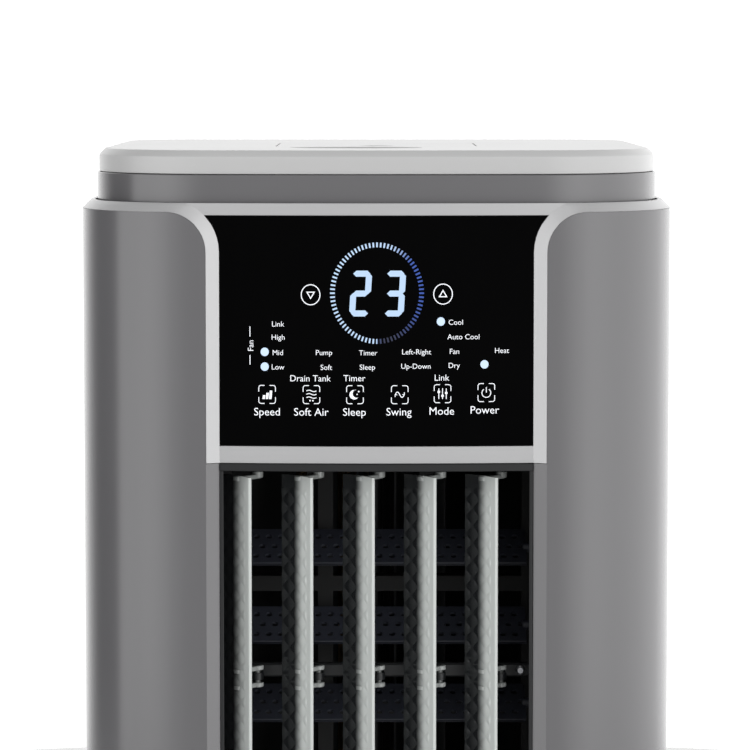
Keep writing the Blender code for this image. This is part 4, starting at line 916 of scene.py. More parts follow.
def build_neck():
    low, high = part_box("neck_ring")
    out, wall = 0.001, 0.003
    profile = [(-out, low.z + 0.0012), (-out, high.z - 0.0004), (0.0004 - out, high.z)]
    profile += [(wall - out - 0.0004, high.z), (wall - out, high.z - 0.0004), (wall - out, low.z + 0.0012)]
    ring = loft([at_height(lid_plan(inset), z) for inset, z in profile], closed=True)
    low_flap, high_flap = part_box("fill_flap")
    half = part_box("ice_box")[1].x + 0.001
    front, rear = low_flap.y - 0.0046, high_flap.y + 0.0025
    opening = [(-half, front), (half, front), (half, rear), (-half, rear)]
    deck = slab([body_plan(body().trim_wall + 3 * SEAM), opening], low.z, low.z + 0.003)
    made = piece("neck_ring_fine", joined(ring, deck))
    return ready(made, "shell", "cabinet", "shell_grey", "neck_ring")


def softened(profile, reach=0.0006, steps=3):
    """A profile of (inset, z) points with its inner corners rounded."""
    made = [profile[0]]
    for before, corner, after in zip(profile, profile[1:], profile[2:]):
        before, corner, after = Vector(before), Vector(corner), Vector(after)
        first = corner + (before - corner).normalized() * min(reach, (before - corner).length / 2)
        last = corner + (after - corner).normalized() * min(reach, (after - corner).length / 2)
        for k in range(steps + 1):
            t = k / steps
            made.append(tuple(first * (1 - t) ** 2 + corner * 2 * t * (1 - t) + last * t**2))
    return made + [profile[-1]]


def build_lid():
    sizes = body()
    plate = 0.004
    slope = sizes.lid_chamfer
    outer = [(0.002, LID_FOOT), (0.0, LID_FOOT), (0.0, LID_TOP - slope), (slope, LID_TOP), (slope + 0.004, LID_TOP)]
    outer = softened(outer)
    inner = [(sizes.wall, LID_FOOT), (sizes.wall, LID_TOP - plate)]
    loops = [at_height(lid_plan(inset), z) for inset, z in [*reversed(inner), *outer]]
    made = piece("top_lid_fine", loft(loops))
    dish_x, dish_y, dish_half, dish_reach = -0.012, -0.083, 0.039, 0.017
    dish = []
    for k in range(9):
        t = k / 8
        grow = 1.0 if t > 0.5 else math.sin(math.pi * t) * 0.18 + 0.82
        z = LID_TOP - 0.0035 + 0.0065 * t
        ring = [math.tau * i / 96 for i in range(96)]
        wide, deep = dish_half * grow, dish_reach * grow
        dish.append([(dish_x + wide * math.cos(a), dish_y + deep * math.sin(a), z) for a in ring])
    low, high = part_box("fill_flap")
    flap_half = 0.060
    window = [round_rect(flap_half, (high.y - low.y) / 2, 0.004, 6, (0.0, (low.y + high.y) / 2))]
    window = [[(x, y) for x, y in window[0]]]
    carve(made, loft(dish), slab([window[0]], LID_TOP - 0.02, LID_TOP + 0.01))
    return ready(made, "lid", "cabinet", "lid_grey", "top_lid")


def build_flap():
    low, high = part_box("fill_flap")
    half = 0.0595
    plate = block((-half, low.y + 0.0002, low.z), (half, high.y - 0.0002, LID_TOP), 0.0036, 0.0004)
    made = piece("fill_flap_fine", plate)
    thumb = lathe([(0, -0.0012), (0.008, -0.0009), (0.0105, 0.0), (0.0105, 0.003), (0, 0.003)], 48)
    moved(thumb, y=low.y + 0.016, z=LID_TOP)
    carve(made, thumb)
    return ready(made, "lid", "flap", "lid_grey", "fill_flap")


# ---- Geometry Nodes for what repeats ----


class Tree:
    """A geometry tree in the making: named sizes in, one mesh out."""

    def __init__(self, name, sizes):
        self.tree = bpy.data.node_groups.new(name, "GeometryNodeTree")
        for title, kind in sizes:
            self.tree.interface.new_socket(title, in_out="INPUT", socket_type=kind)
        self.tree.interface.new_socket("Mesh", in_out="OUTPUT", socket_type="NodeSocketGeometry")
        self.inputs = self.tree.nodes.new("NodeGroupInput").outputs

    def node(self, kind, settings=None, inputs=None):
        made = self.tree.nodes.new(kind)
        for key, value in (settings or {}).items():
            setattr(made, key, value)
        for key, value in (inputs or {}).items():
            for each in value if isinstance(value, list) else [value]:
                if isinstance(each, bpy.types.NodeSocket):
                    self.tree.links.new(each, made.inputs[key])
                else:
                    made.inputs[key].default_value = each
        return made

    def maths(self, operation, *values):
        return self.node("ShaderNodeMath", {"operation": operation}, dict(enumerate(values))).outputs[0]

    def point(self, x=0.0, y=0.0, z=0.0):
        return self.node("ShaderNodeCombineXYZ", None, {0: x, 1: y, 2: z}).outputs[0]

    def close(self, geometry):
        """Realize Instances, Set Material and the way out."""
        real = self.node("GeometryNodeRealizeInstances", None, {0: geometry}).outputs[0]
        dressed = self.node("GeometryNodeSetMaterial", None, {"Geometry": real, "Material": self.inputs["Finish"]})
        out = self.tree.nodes.new("NodeGroupOutput")
        self.tree.links.new(dressed.outputs[0], out.inputs[0])
        return self.tree


PLATE_SIZES = [
    (title, "NodeSocketFloat")
    for title in (
        "Width", "Height", "Thickness", "Corner", "Hole Width", "Hole Height", "Hole Round", "Pitch", "Row Pitch",
        "Stagger",
    )
]
PLATE_SIZES += [(title, "NodeSocketInt") for title in ("Columns", "Rows", "Sides")]
PLATE_SIZES += [("Finish", "NodeSocketMaterial")]


def pierced_plate_tree():
    """A flat plate in plan with rows of round or long holes, every other row moved along."""
    tree = Tree("pierced_plate", PLATE_SIZES)
    given, maths = tree.inputs, tree.maths

    def outline(width, height, corner):
        inputs = {"Width": width, "Height": height}
        frame_ = tree.node("GeometryNodeCurvePrimitiveQuadrilateral", None, inputs).outputs[0]
        return tree.node(
            "GeometryNodeFilletCurve", {"mode": "POLY"}, {"Curve": frame_, "Count": given["Sides"], "Radius": corner}
        ).outputs[0]

    count = maths("MULTIPLY", given["Columns"], given["Rows"])
    index = tree.node("GeometryNodeInputIndex").outputs[0]
    row = maths("FLOOR", maths("DIVIDE", maths("ADD", index, 0.5), given["Columns"]))
    column = maths("SUBTRACT", index, maths("MULTIPLY", row, given["Columns"]))
    middle = maths("MULTIPLY", maths("SUBTRACT", given["Columns"], 1.0), 0.5)
    shift = maths("MULTIPLY", maths("SUBTRACT", maths("MODULO", row, 2.0), 0.5), given["Stagger"])
    x = maths("ADD", maths("MULTIPLY", maths("SUBTRACT", column, middle), given["Pitch"]), shift)
    half_rows = maths("MULTIPLY", maths("SUBTRACT", given["Rows"], 1.0), 0.5)
    y = maths("MULTIPLY", maths("SUBTRACT", row, half_rows), given["Row Pitch"])
    points = tree.node("GeometryNodePoints", None, {"Count": count, "Position": tree.point(x, y)}).outputs[0]
    hole = outline(given["Hole Width"], given["Hole Height"], given["Hole Round"])
    holes = tree.node("GeometryNodeInstanceOnPoints", None, {"Points": points, "Instance": hole}).outputs[0]
    holes = tree.node("GeometryNodeRealizeInstances", None, {0: holes}).outputs[0]
    edge = outline(given["Width"], given["Height"], given["Corner"])
    curves = tree.node("GeometryNodeJoinGeometry", None, {0: [edge, holes]}).outputs[0]
    face = tree.node("GeometryNodeFillCurve", {"mode": "TRIANGLES"}, {0: curves}).outputs[0]
    drop = tree.point(z=maths("MULTIPLY", given["Thickness"], -0.5))
    lowered = tree.node("GeometryNodeTransform", None, {0: face, "Translation": drop}).outputs[0]
    raised = tree.node(
        "GeometryNodeExtrudeMesh",
        {"mode": "FACES"},
        {"Mesh": lowered, "Offset": tree.point(z=given["Thickness"]), "Offset Scale": 1.0, "Individual": False},
    ).outputs[0]
    under = tree.node("GeometryNodeFlipFaces", None, {0: lowered}).outputs[0]
    whole = tree.node("GeometryNodeJoinGeometry", None, {0: [raised, under]}).outputs[0]
    return tree.close(tree.node("GeometryNodeMergeByDistance", None, {0: whole, "Distance": 0.00001}).outputs[0])


def tick_ring_tree():
    """Short bars set round a circle in the XZ plane."""
    names = ("Radius", "Stretch", "Length", "Width", "Depth")
    tree = Tree(
        "tick_ring",
        [(n, "NodeSocketFloat") for n in names] + [("Count", "NodeSocketInt"), ("Finish", "NodeSocketMaterial")],
    )
    given, maths = tree.inputs, tree.maths
    index = tree.node("GeometryNodeInputIndex").outputs[0]
    turn = maths("DIVIDE", maths("MULTIPLY", index, math.tau), given["Count"])
    x = maths("MULTIPLY", maths("SINE", turn), given["Radius"])
    z = maths("MULTIPLY", maths("MULTIPLY", maths("COSINE", turn), given["Radius"]), given["Stretch"])
    places = {"Count": given["Count"], "Position": tree.point(x, 0.0, z)}
    points = tree.node("GeometryNodePoints", None, places).outputs[0]
    bar = tree.node(
        "GeometryNodeMeshCube", None, {"Size": tree.point(given["Width"], given["Depth"], given["Length"])}
    ).outputs[0]
    turned = tree.point(y=turn)
    rotation = tree.node("FunctionNodeEulerToRotation", None, {0: turned}).outputs[0]
    bars = tree.node(
        "GeometryNodeInstanceOnPoints", None, {"Points": points, "Instance": bar, "Rotation": rotation}
    ).outputs[0]
    return tree.close(bars)


def grown(tree, values):
    """The mesh that a tree makes from its named sizes."""
    holder = bpy.data.objects.new("holder", bpy.data.meshes.new("holder"))
    bpy.context.scene.collection.objects.link(holder)
    modifier = holder.modifiers.new("Grow", "NODES")
    modifier.node_group = tree
    sockets = {item.name: item.identifier for item in tree.interface.items_tree if item.in_out == "INPUT"}
    for title, value in values.items():
        modifier[sockets[title]] = value
    graph = bpy.context.evaluated_depsgraph_get()
    mesh = bpy.data.meshes.new_from_object(holder.evaluated_get(graph))
    bpy.data.objects.remove(holder, do_unlink=True)
    return mesh


# ---- Outlet ----


def bow_bar(half, low_z, high_z, front, back_y, steps=24):
    """A bar that follows the bow, with eased front edges."""
    ease = 0.0003
    loops = []
    for k in range(-steps, steps + 1):
        x = half * k / steps
        face = front_y(x, front)
        loops.append(
            [(x, face + ease, low_z), (x, face, low_z + ease), (x, face, high_z - ease), (x, face + ease, high_z),
             (x, back_y, high_z), (x, back_y, low_z)]
        )
    return loft(loops)


def build_bezel():
    low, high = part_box("outlet_bezel")
    sink, side = 0.0030, 0.0018
    lip = bow_bar(high.x, LINER_TOP, high.z, sink, high.y)
    sill = bow_bar(high.x, low.z, LINER_FOOT, sink, high.y)
    sides = [
        block(
            (min(s * high.x, s * (high.x - side)), front_y(high.x, sink) + 0.0001, LINER_FOOT - 0.0002),
            (max(s * high.x, s * (high.x - side)), high.y, LINER_TOP + 0.0002),
            0.0003,
        )
        for s in (-1, 1)
    ]
    made = piece("outlet_bezel_fine", joined(lip, sill, *sides))
    return ready(made, "bezel", "cabinet", "mech_dark", "outlet_bezel")


VANE_AXIS_Y = -0.134
VANE_RIM = Vector((-0.0032, -0.0220))
VANE_REAR = Vector((-0.0200, -0.0040))
VANE_END_PLAY = 0.0042
VANE_SIDE = 0.0034  # a vane's axis to the right side of its box
RAIL_FRONT_Y = -0.1165
RAIL_REAR_Y = -0.1105
FIXING_X = 0.0835


def vane_x(name):
    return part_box(name)[1].x - VANE_SIDE


def vane_arc():
    """Centre and angles of the vane's bow in plan, from its rear edge to its rim."""
    radius = outlet().vane_bow
    chord = VANE_RIM - VANE_REAR
    middle = (VANE_RIM + VANE_REAR) / 2
    off = Vector((-chord.y, chord.x)).normalized()
    centre = middle - off * math.sqrt(radius**2 - chord.length_squared / 4)
    first, last = (math.atan2(*(p - centre).yx) for p in (VANE_REAR, VANE_RIM))
    return centre, first, last


def quilt(s, t, pitch, rise):
    """Height of a field of rounded diamonds, a pitch high and a pitch wide, that meet in creases."""
    a, b = (s + t) / pitch, (s - t) / pitch
    a, b = a - math.floor(a), b - math.floor(b)
    return rise * (1 - (2 * a - 1) ** 2) * (1 - (2 * b - 1) ** 2)


def vane_blade():
    """The bowed blade with quilted faces, round at its rim, relative to the vane's axis in plan."""
    sizes = outlet()
    centre, first, last = vane_arc()
    radius, half = sizes.vane_bow, sizes.vane_thick / 2
    foot, top = LINER_FOOT + VANE_END_PLAY, LINER_TOP - VANE_END_PLAY
    steps = 12  # to a diamond
    step = sizes.quilt / steps
    run = radius * abs(last - first)
    columns = int(run / step)
    rows = int((top - foot) / step)
    plain_rim, plain_end = 0.0042, 0.0075

    def calm(distance, width):
        return min(1.0, max(0.0, distance / width))

    def face(out, grow):
        lines = []
        for j in range(rows + 1):
            z = foot + (top - foot) * j / rows
            line = []
            for i in range(columns + 1):
                s = run * i / columns
                angle = first + (last - first) * i / columns
                fade = calm(run - s - plain_rim, 0.0012) * calm(min(z - foot, top - z) - plain_end, 0.0012)
                lift = quilt(i * step, j * step, sizes.quilt, sizes.quilt_rise) * fade if grow else 0.0
                r = radius + out * (half - sizes.quilt_rise + lift if grow else half)
                line.append((centre.x + r * math.cos(angle), centre.y + r * math.sin(angle), z))
            lines.append(line)
        return lines

    bm = bmesh.new()
    layers = [face(-1, True), face(1, True)]
    grids = [[[bm.verts.new(p) for p in line] for line in layer] for layer in layers]
    for grid, turned in zip(grids, (False, True)):
        for j in range(rows):
            for i in range(columns):
                a, b, c, d = grid[j][i], grid[j][i + 1], grid[j + 1][i + 1], grid[j + 1][i]
                if (i - j) % steps == 0:
                    faces = ((a, b, c), (a, c, d))
                elif (i + j + 1) % steps == 0:
                    faces = ((a, b, d), (b, c, d))
                else:
                    faces = ((a, b, c, d),)
                for corners in faces:
                    bm.faces.new(tuple(reversed(corners)) if turned else corners)
    near, far = grids
    rim = []
    for k in (1, 2, 3):
        t = k / 4
        bulge = 0.0009 * math.sin(math.pi * t) ** 0.6
        direction = Vector((-math.sin(last), math.cos(last))) * (1 if last > first else -1)
        line = []
        for j in range(rows + 1):
            p, q = near[j][-1].co, far[j][-1].co
            point = p.lerp(q, t)
            line.append(bm.verts.new((point.x + direction.x * bulge, point.y + direction.y * bulge, point.z)))
        rim.append(line)
    columns_round = [[line[-1] for line in near], *rim, [line[-1] for line in far]]
    for left, right in zip(columns_round, columns_round[1:]):
        for j in range(rows):
            bm.faces.new((left[j], right[j], right[j + 1], left[j + 1]))
    for j in range(rows):
        bm.faces.new((far[j][0], near[j][0], near[j + 1][0], far[j + 1][0]))
    for j, flip in ((0, True), (rows, False)):
        loop = [*near[j], *(line[j] for line in rim), *reversed(far[j])]
        bm.faces.new(list(reversed(loop)) if flip else loop)
    bmesh.ops.recalc_face_normals(bm, faces=bm.faces)
    return mesh_of(bm)


def vane_fittings():
    """Discs, arms, spindles and the crank of one vane, relative to its axis."""
    foot, top = LINER_FOOT + VANE_END_PLAY, LINER_TOP - VANE_END_PLAY
    arm_thick, arm_wide, disc = 0.0025, 0.0050, 0.0036
    crank_z = LINER_TOP + 0.0032
    spindle_top = crank_z + arm_thick + SEAM + 0.0025 + 0.0015
    rail_low, rail_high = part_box("vane_stay_rail")[0].z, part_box("vane_stay_rail")[1].z
    rail_z = (rail_low + rail_high) / 2
    lug_low, lug_high = rail_z - 0.0035, rail_z + 0.0035
    middle = (VANE_RIM + VANE_REAR) / 2
    lean = math.atan2(middle.y, middle.x)
    turn = math.radians(20.0)

    def arm(z0, z1):
        bar = block((-0.0012, -arm_wide / 2, z0), (middle.length + 0.0004, arm_wide / 2, z1), 0.0011)
        return moved(bar, turn=lean)

    crank = moved(block((-0.0023, 0.0, crank_z), (0.0023, 0.0143, crank_z + arm_thick), 0.0022), turn=turn)
    pin_x, pin_y = -0.012 * math.sin(turn), 0.012 * math.cos(turn)
    bars = [
        (disc, top - arm_thick, top + 0.001),
        (disc, foot - 0.001, foot + arm_thick),
        (0.0025, LINER_FOOT - 0.002, foot),
        (0.0025, top - 0.001, spindle_top),
        (0.0017, lug_low - arm_thick / 2, lug_high + arm_thick / 2),
        (disc, lug_high + 0.0002, lug_high + arm_thick + 0.0002),
        (disc, lug_low - arm_thick - 0.0002, lug_low - 0.0002),
    ]
    made = [rod(r, (0, 0, z0), (0, 0, z1), 24) for r, z0, z1 in bars]
    made += [arm(top - arm_thick - 0.0005, top - 0.0005), arm(foot + 0.0005, foot + arm_thick + 0.0005)]
    made += [arm(lug_high, lug_high + arm_thick), arm(lug_low - arm_thick, lug_low)]
    made += [crank, rod(0.0014, (pin_x, pin_y, crank_z + 0.001), (pin_x, pin_y, spindle_top), 12)]
    return made


def mark_painted_shade_reach(mesh):
    """Stores how far each point lies along the blade, from 0 at its rear edge to 1 at its rim; the vane finish paints
    shade where this is low.
    """
    chord = VANE_RIM - VANE_REAR
    reach = mesh.attributes.new("reach", "FLOAT", "POINT")
    for vert, share in zip(mesh.vertices, reach.data):
        share.value = min(1.0, max(0.0, (vert.co.xy - VANE_REAR).dot(chord) / chord.length_squared))


def build_vanes():
    blade = vane_blade()
    fittings = vane_fittings()
    for name in VANES:
        whole = joined(blade, *fittings)
        # The reach marks where the vane's painted shade falls.
        mark_painted_shade_reach(whole)
        made = piece(f"{name}_fine", moved(whole, x=vane_x(name), y=VANE_AXIS_Y))
        ready(made, "vane", name, "vane_grey", name, angle=11.0)


def build_rail():
    low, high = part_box("vane_stay_rail")
    bar = block((low.x, RAIL_FRONT_Y, low.z), (high.x, RAIL_REAR_Y, high.z), 0.0006, 0.0010)
    z = (low.z + high.z) / 2
    parts = [bar]
    for name in VANES:
        x = vane_x(name)
        outlines = [round_rect(0.0035, 0.0036, 0.0034, 8), round_rect(0.0021, 0.0021, 0.0020, 5)]
        parts.append(moved(slab(outlines, -0.002, 0.002), x=x, y=VANE_AXIS_Y, z=z))
        low_corner = (x - 0.0030, VANE_AXIS_Y + 0.0033, z - 0.0018)
        high_corner = (x + 0.0030, RAIL_FRONT_Y + 0.001, z + 0.0018)
        parts.append(block(low_corner, high_corner, 0.0004))
    made = piece("vane_stay_rail_fine", joined(*parts))
    ready(made, "mech", "cabinet", "mech_dark", "vane_stay_rail")
    heads = []
    for side in (-1, 1):
        profile = [(0, -0.0016), (0.0016, -0.0016), (0.0026, -0.0008), (0.0029, 0.0), (0.0029, 0.0010), (0, 0.0010)]
        head = lathe(profile, 32)
        head.transform(Matrix.Translation((side * FIXING_X, RAIL_FRONT_Y, z)) @ Matrix.Rotation(-math.pi / 2, 4, "X"))
        heads.append(head)
    made = piece("rail_fixings", joined(*heads))
    ready(made, "metal", "cabinet", "motor_metal")


BLADE_HALF = 0.0875
BLADE_CHORD = 0.031
BLADE_SHEET = 0.0016
BLADE_AXIS_Y = -0.096
BLADE_TILT = math.radians(32.0)
BLADE_CRANK_TURN = math.radians(24.0)
BLADE_CRANK_X = 0.0937  # the crank arm's inner face, from the middle
BLADE_CRANK_THICK = 0.0025
BLADE_CRANK_REACH = 0.012  # axis to pin
BLADE_PIN_END = 0.0999
PLAIN_PIN_END = 0.0945


def build_blades():
    sizes = outlet()
    plate = grown(
        pierced_plate_tree(),
        {
            "Width": 2 * BLADE_HALF, "Height": BLADE_CHORD, "Thickness": BLADE_SHEET, "Corner": 0.0015,
            "Hole Width": sizes.hole, "Hole Height": sizes.hole, "Hole Round": sizes.hole / 2 - 0.00001,
            "Pitch": sizes.hole_pitch, "Row Pitch": sizes.row_pitch, "Stagger": sizes.hole_pitch / 2,
            "Columns": 24, "Rows": 3, "Sides": 4, "Finish": finish_of("blade"),
        },
    )
    front = -BLADE_CHORD / 2
    fold = block((-BLADE_HALF, front, -0.0012), (BLADE_HALF, front + 0.0014, 0.0012), 0.0006)
    inner, outer = -BLADE_CRANK_X, -BLADE_CRANK_X - BLADE_CRANK_THICK
    bars = [
        rod(0.003, (-BLADE_HALF + 0.002, 0, 0), (outer, 0, 0)),
        rod(0.003, (BLADE_HALF - 0.002, 0, 0), (PLAIN_PIN_END, 0, 0)),
    ]
    arm = block((outer + 0.0002, 0, -0.0025), (inner, 0.0145, 0.0025), 0.0006)
    arm = moved(arm, turn=BLADE_CRANK_TURN, axis="X")
    pin_y = BLADE_CRANK_REACH * math.cos(BLADE_CRANK_TURN)
    pin_z = BLADE_CRANK_REACH * math.sin(BLADE_CRANK_TURN)
    pin = rod(0.0014, (inner - 0.001, pin_y, pin_z), (-BLADE_PIN_END, pin_y, pin_z), 12)
    flat = joined(plate, fold)
    flat.transform(Matrix.Rotation(BLADE_TILT, 4, "X"))
    drop = math.sin(BLADE_TILT) * BLADE_CHORD / 2 + math.cos(BLADE_TILT) * BLADE_SHEET / 2
    for name in BLADES:
        _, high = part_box(name)
        parts = joined(*bars, arm, pin)
        parts.transform(Matrix.Rotation(BLADE_TILT, 4, "X"))
        made = piece(f"{name}_fine", moved(joined(flat, parts), y=BLADE_AXIS_Y, z=high.z - drop))
        ready(made, "blade", name, "blade_dark", name, angle=30.0)


# ---- Sides, back and foot ----


def build_grips():
    for side, name in ((-1, "side_grip_left"), (1, "side_grip_right")):
        low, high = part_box(name)
        centre = ((low.y + high.y) / 2, (low.z + high.z) / 2)
        half_y, half_z = (high.y - low.y) / 2, (high.z - low.z) / 2
        outer, deep = (high.x, low.x) if side > 0 else (low.x, high.x)
        profile = [
            (0.0000, 0.0004, 0.0), (0.0004, 0.0, 0.0), (0.0016, 0.0, 0.0), (0.0020, 0.0006, 0.0), (0.0030, 0.75, 0.0),
            (0.0050, 0.985, 0.0), (0.0070, 1.0, 0.0),
        ]
        loops = [[(deep, y, z) for y, z in round_rect(half_y, half_z, 0.0055, 8, centre)]]
        for inset, depth, _ in profile:
            if depth > 0.01:  # a share of the way in, and otherwise a length
                x = outer + (deep + side * 0.002 - outer) * depth
            else:
                x = outer - side * depth
            loop = round_rect(half_y - inset, half_z - inset, max(0.0055 - inset * 0.5, 0.002), 8, centre)
            loops.append([(x, y, z) for y, z in loop])
        made = piece(f"{name}_fine", loft(loops))
        ready(made, "pump", "cabinet", "rubber_black", name, angle=32.0)


WHEEL_RADIUS = 0.020
AXLE_RADIUS = 0.0030
WHEEL_NEAR = 0.0066  # each wheel's faces, from the castor's middle
WHEEL_FAR = 0.0156
CASTOR_TRAIL = 0.012
YOKE_TOP = 0.0495
YOKE_ROUND = 0.0085  # round the axle


def build_castors():
    radius, near, far = WHEEL_RADIUS, WHEEL_NEAR, WHEEL_FAR
    for place in CASTORS:
        wheel_low, wheel_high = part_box(f"castor_wheels_{place}")
        y = (wheel_low.y + wheel_high.y) / 2
        x = (wheel_low.x + wheel_high.x) / 2
        treads, hubs = [], []
        for side in (-1, 1):
            tread = [
                (radius - 0.0050, near), (radius - 0.0014, near), (radius - 0.0004, near + 0.0008),
                (radius, near + 0.0022), (radius, far - 0.0022),
                (radius - 0.0004, far - 0.0008), (radius - 0.0014, far), (radius - 0.0050, far),
            ]
            disc = [
                (0, near), (radius - 0.0049, near), (radius - 0.0049, far - 0.0002), (radius - 0.0062, far),
                (radius - 0.0074, far - 0.0010), (0.0072, far - 0.0016), (0.0060, far - 0.0004), (0, far),
            ]
            treads.append(moved(lathe([(r, side * z) for r, z in tread + tread[:1]], 56, "X"), x, y, radius))
            hubs.append(moved(lathe([(r, side * z) for r, z in disc], 56, "X"), x, y, radius))
        hubs.append(rod(AXLE_RADIUS, (x - near - 0.001, y, radius), (x + near + 0.001, y, radius), 20))
        made = piece(f"castor_treads_{place}", joined(*treads))
        ready(made, "rubber", f"wheels_{place}", "rubber_black", f"castor_wheels_{place}", angle=40.0)
        made = piece(f"castor_hubs_{place}", joined(*hubs))
        ready(made, "hub", f"wheels_{place}", "rubber_black")
        _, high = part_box(f"castor_yoke_{place}")
        swivel_y, top = y - CASTOR_TRAIL, YOKE_TOP
        outline = [(swivel_y - 0.0115, top - 0.0035), (swivel_y - 0.0125, top - 0.007)]
        for k in range(15):
            a = math.radians(150 + 210 * k / 14)
            outline.append((y + YOKE_ROUND * math.cos(a), radius + YOKE_ROUND * math.sin(a)))
        outline += [(y + 0.0095, radius + 0.012), (y + 0.0045, top - 0.006), (y + 0.0010, top - 0.0035)]
        web = sideways(slab([outline], -0.0058, 0.0058))
        profile = [(0, -0.0045), (0.0130, -0.0045), (0.0155, -0.0036), (0.0160, -0.0026), (0.0160, -0.0004)]
        cap = lathe([*profile, (0.0156, 0), (0, 0)], 48)
        stem = rod(0.0040, (x, swivel_y, top - 0.001), (x, swivel_y, high.z), 20)
        made = piece(f"castor_yoke_{place}_fine", joined(moved(web, x=x), moved(cap, x, swivel_y, top), stem))
        ready(made, "hub", f"yoke_{place}", "rubber_black", f"castor_yoke_{place}", angle=30.0)


def build_back():
    """The louvred grille at the back."""
    low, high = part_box("rear_grille")
    width, height, depth = high.x - low.x, high.z - low.z, high.y - low.y
    plate = grown(
        pierced_plate_tree(),
        {
            "Width": width, "Height": height, "Thickness": 0.0024, "Corner": 0.006, "Hole Width": 0.050,
            "Hole Height": 0.0070, "Hole Round": 0.0034, "Pitch": 0.0560, "Row Pitch": 0.0112, "Stagger": 0.0,
            "Columns": 4, "Rows": 34, "Sides": 4, "Finish": finish_of("shell"),
        },
    )
    plate = moved(upright(plate), (low.x + high.x) / 2, high.y - 0.0012, (low.z + high.z) / 2)
    rim_in = 0.003
    hole = round_rect(width / 2 - rim_in, height / 2 - rim_in, 0.004, 6)
    rim = slab([round_rect(width / 2, height / 2, 0.006, 6), hole], -depth / 2, depth / 2)
    rim = moved(upright(rim), (low.x + high.x) / 2, (low.y + high.y) / 2, (low.z + high.z) / 2)
    pull = block((-0.022, low.y + 0.001, high.z - 0.016), (0.022, high.y - 0.0028, high.z - 0.0085), 0.002)
    made = piece("rear_grille_fine", joined(plate, rim, pull))
    ready(made, "mech", "rear_cartridge", "mech_dark", "rear_grille", angle=30.0)


KEPT_BY_FINISH = {
    "board": ("display_board",),
    "duct": ("outlet_liner", "fan_scroll", "fan_top_plate", "mid_deck", "heater_core"),
    "mech": ("fan_rotor", "vane_link_bar", "blade_link_rod", "base_pan"),
    "metal": ("vane_motor", "blade_motor", "fan_motor"),
    "pad": ("cooling_pad",),
    "filter": ("dust_filter",),
    "tank": ("water_tank", "water_distributor", "ice_box", "control_box"),
    "clear": ("water_hose", "tank_level_window"),
    "hub": ("drain_plug",),
    "pump": ("pump", "power_inlet"),
}
KEPT = {name: finish for finish, names in KEPT_BY_FINISH.items() for name in names}


def dress_kept():
    """Gives every CAD node that stays its finish."""
    for name, key in KEPT.items():
        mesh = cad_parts[name].data
        mesh.materials.clear()
        mesh.materials.append(finish_of(key))


# ---- The control panel's marks ----

PRINT_DEPTH = 0.00004  # ink and light stand this far out from the glass
PANEL_X = 0.0003


def panel_z(share_down):
    """A height on the panel, as a share of the way down it."""
    return PANEL_TOP + (PANEL_FOOT - PANEL_TOP) * share_down


def ring_place():
    return (PANEL_X, 0.0, panel_z(0.3350))


def on_glass(mesh, rise=0.0):
    """Lays a flat mesh, made in X and Z about y = 0, on the bowed glass."""
    for vertex in mesh.vertices:
        x, y, z = vertex.co
        vertex.co = (x, front_y(x, body().sink) - PRINT_DEPTH - rise + y, z)
    return mesh


def flat(loops):
    """Outlines given in X and Z, as a thin mark."""
    return upright(slab(loops, -0.00002, 0.00002))


def text(words, x, z, size, across=1.0, upright_text=False):
    """Words as a thin mark, centred on a point."""
    curve = bpy.data.curves.new("words", "FONT")
    curve.body = words
    curve.size = size
    curve.align_x = "CENTER"
    curve.align_y = "CENTER"
    curve.extrude = 0.00002
    curve.offset = -size * 0.004
    curve.resolution_u = 3
    mesh = curve_mesh(curve)
    turn = Matrix.Rotation(math.pi / 2, 4, "Z") if upright_text else Matrix.Identity(4)
    mesh.transform(turn @ Matrix.Diagonal((across, 1.0, 1.0, 1.0)))
    middle_x = (max(v.co.x for v in mesh.vertices) + min(v.co.x for v in mesh.vertices)) / 2
    mesh.transform(Matrix.Translation((-middle_x, 0, 0)))
    return moved(upright(mesh), x=x, z=z)


def stroke(points, width):
    """A thin line through points in X and Z, as an outline."""
    left, right = [], []
    for i, (x, z) in enumerate(points):
        before = Vector(points[max(i - 1, 0)])
        after = Vector(points[min(i + 1, len(points) - 1)])
        way = (after - before).normalized()
        side = Vector((-way.y, way.x)) * width / 2
        left.append((x + side.x, z + side.y))
        right.append((x - side.x, z - side.y))
    return left + right[::-1]


def circle(x, z, rx, rz, steps=40, start=0.0, sweep=math.tau):
    count = steps if sweep >= math.tau - 1e-6 else steps + 1
    turns = [start + sweep * i / steps for i in range(count)]
    return [(x + rx * math.cos(a), z + rz * math.sin(a)) for a in turns]


def oblong(x, z, half_x, half_z):
    """A rectangle's corners, by its middle and half its sides."""
    return [(x - half_x, z - half_z), (x + half_x, z - half_z), (x + half_x, z + half_z), (x - half_x, z + half_z)]


SEGMENTS = {"2": "abged", "3": "abgcd"}


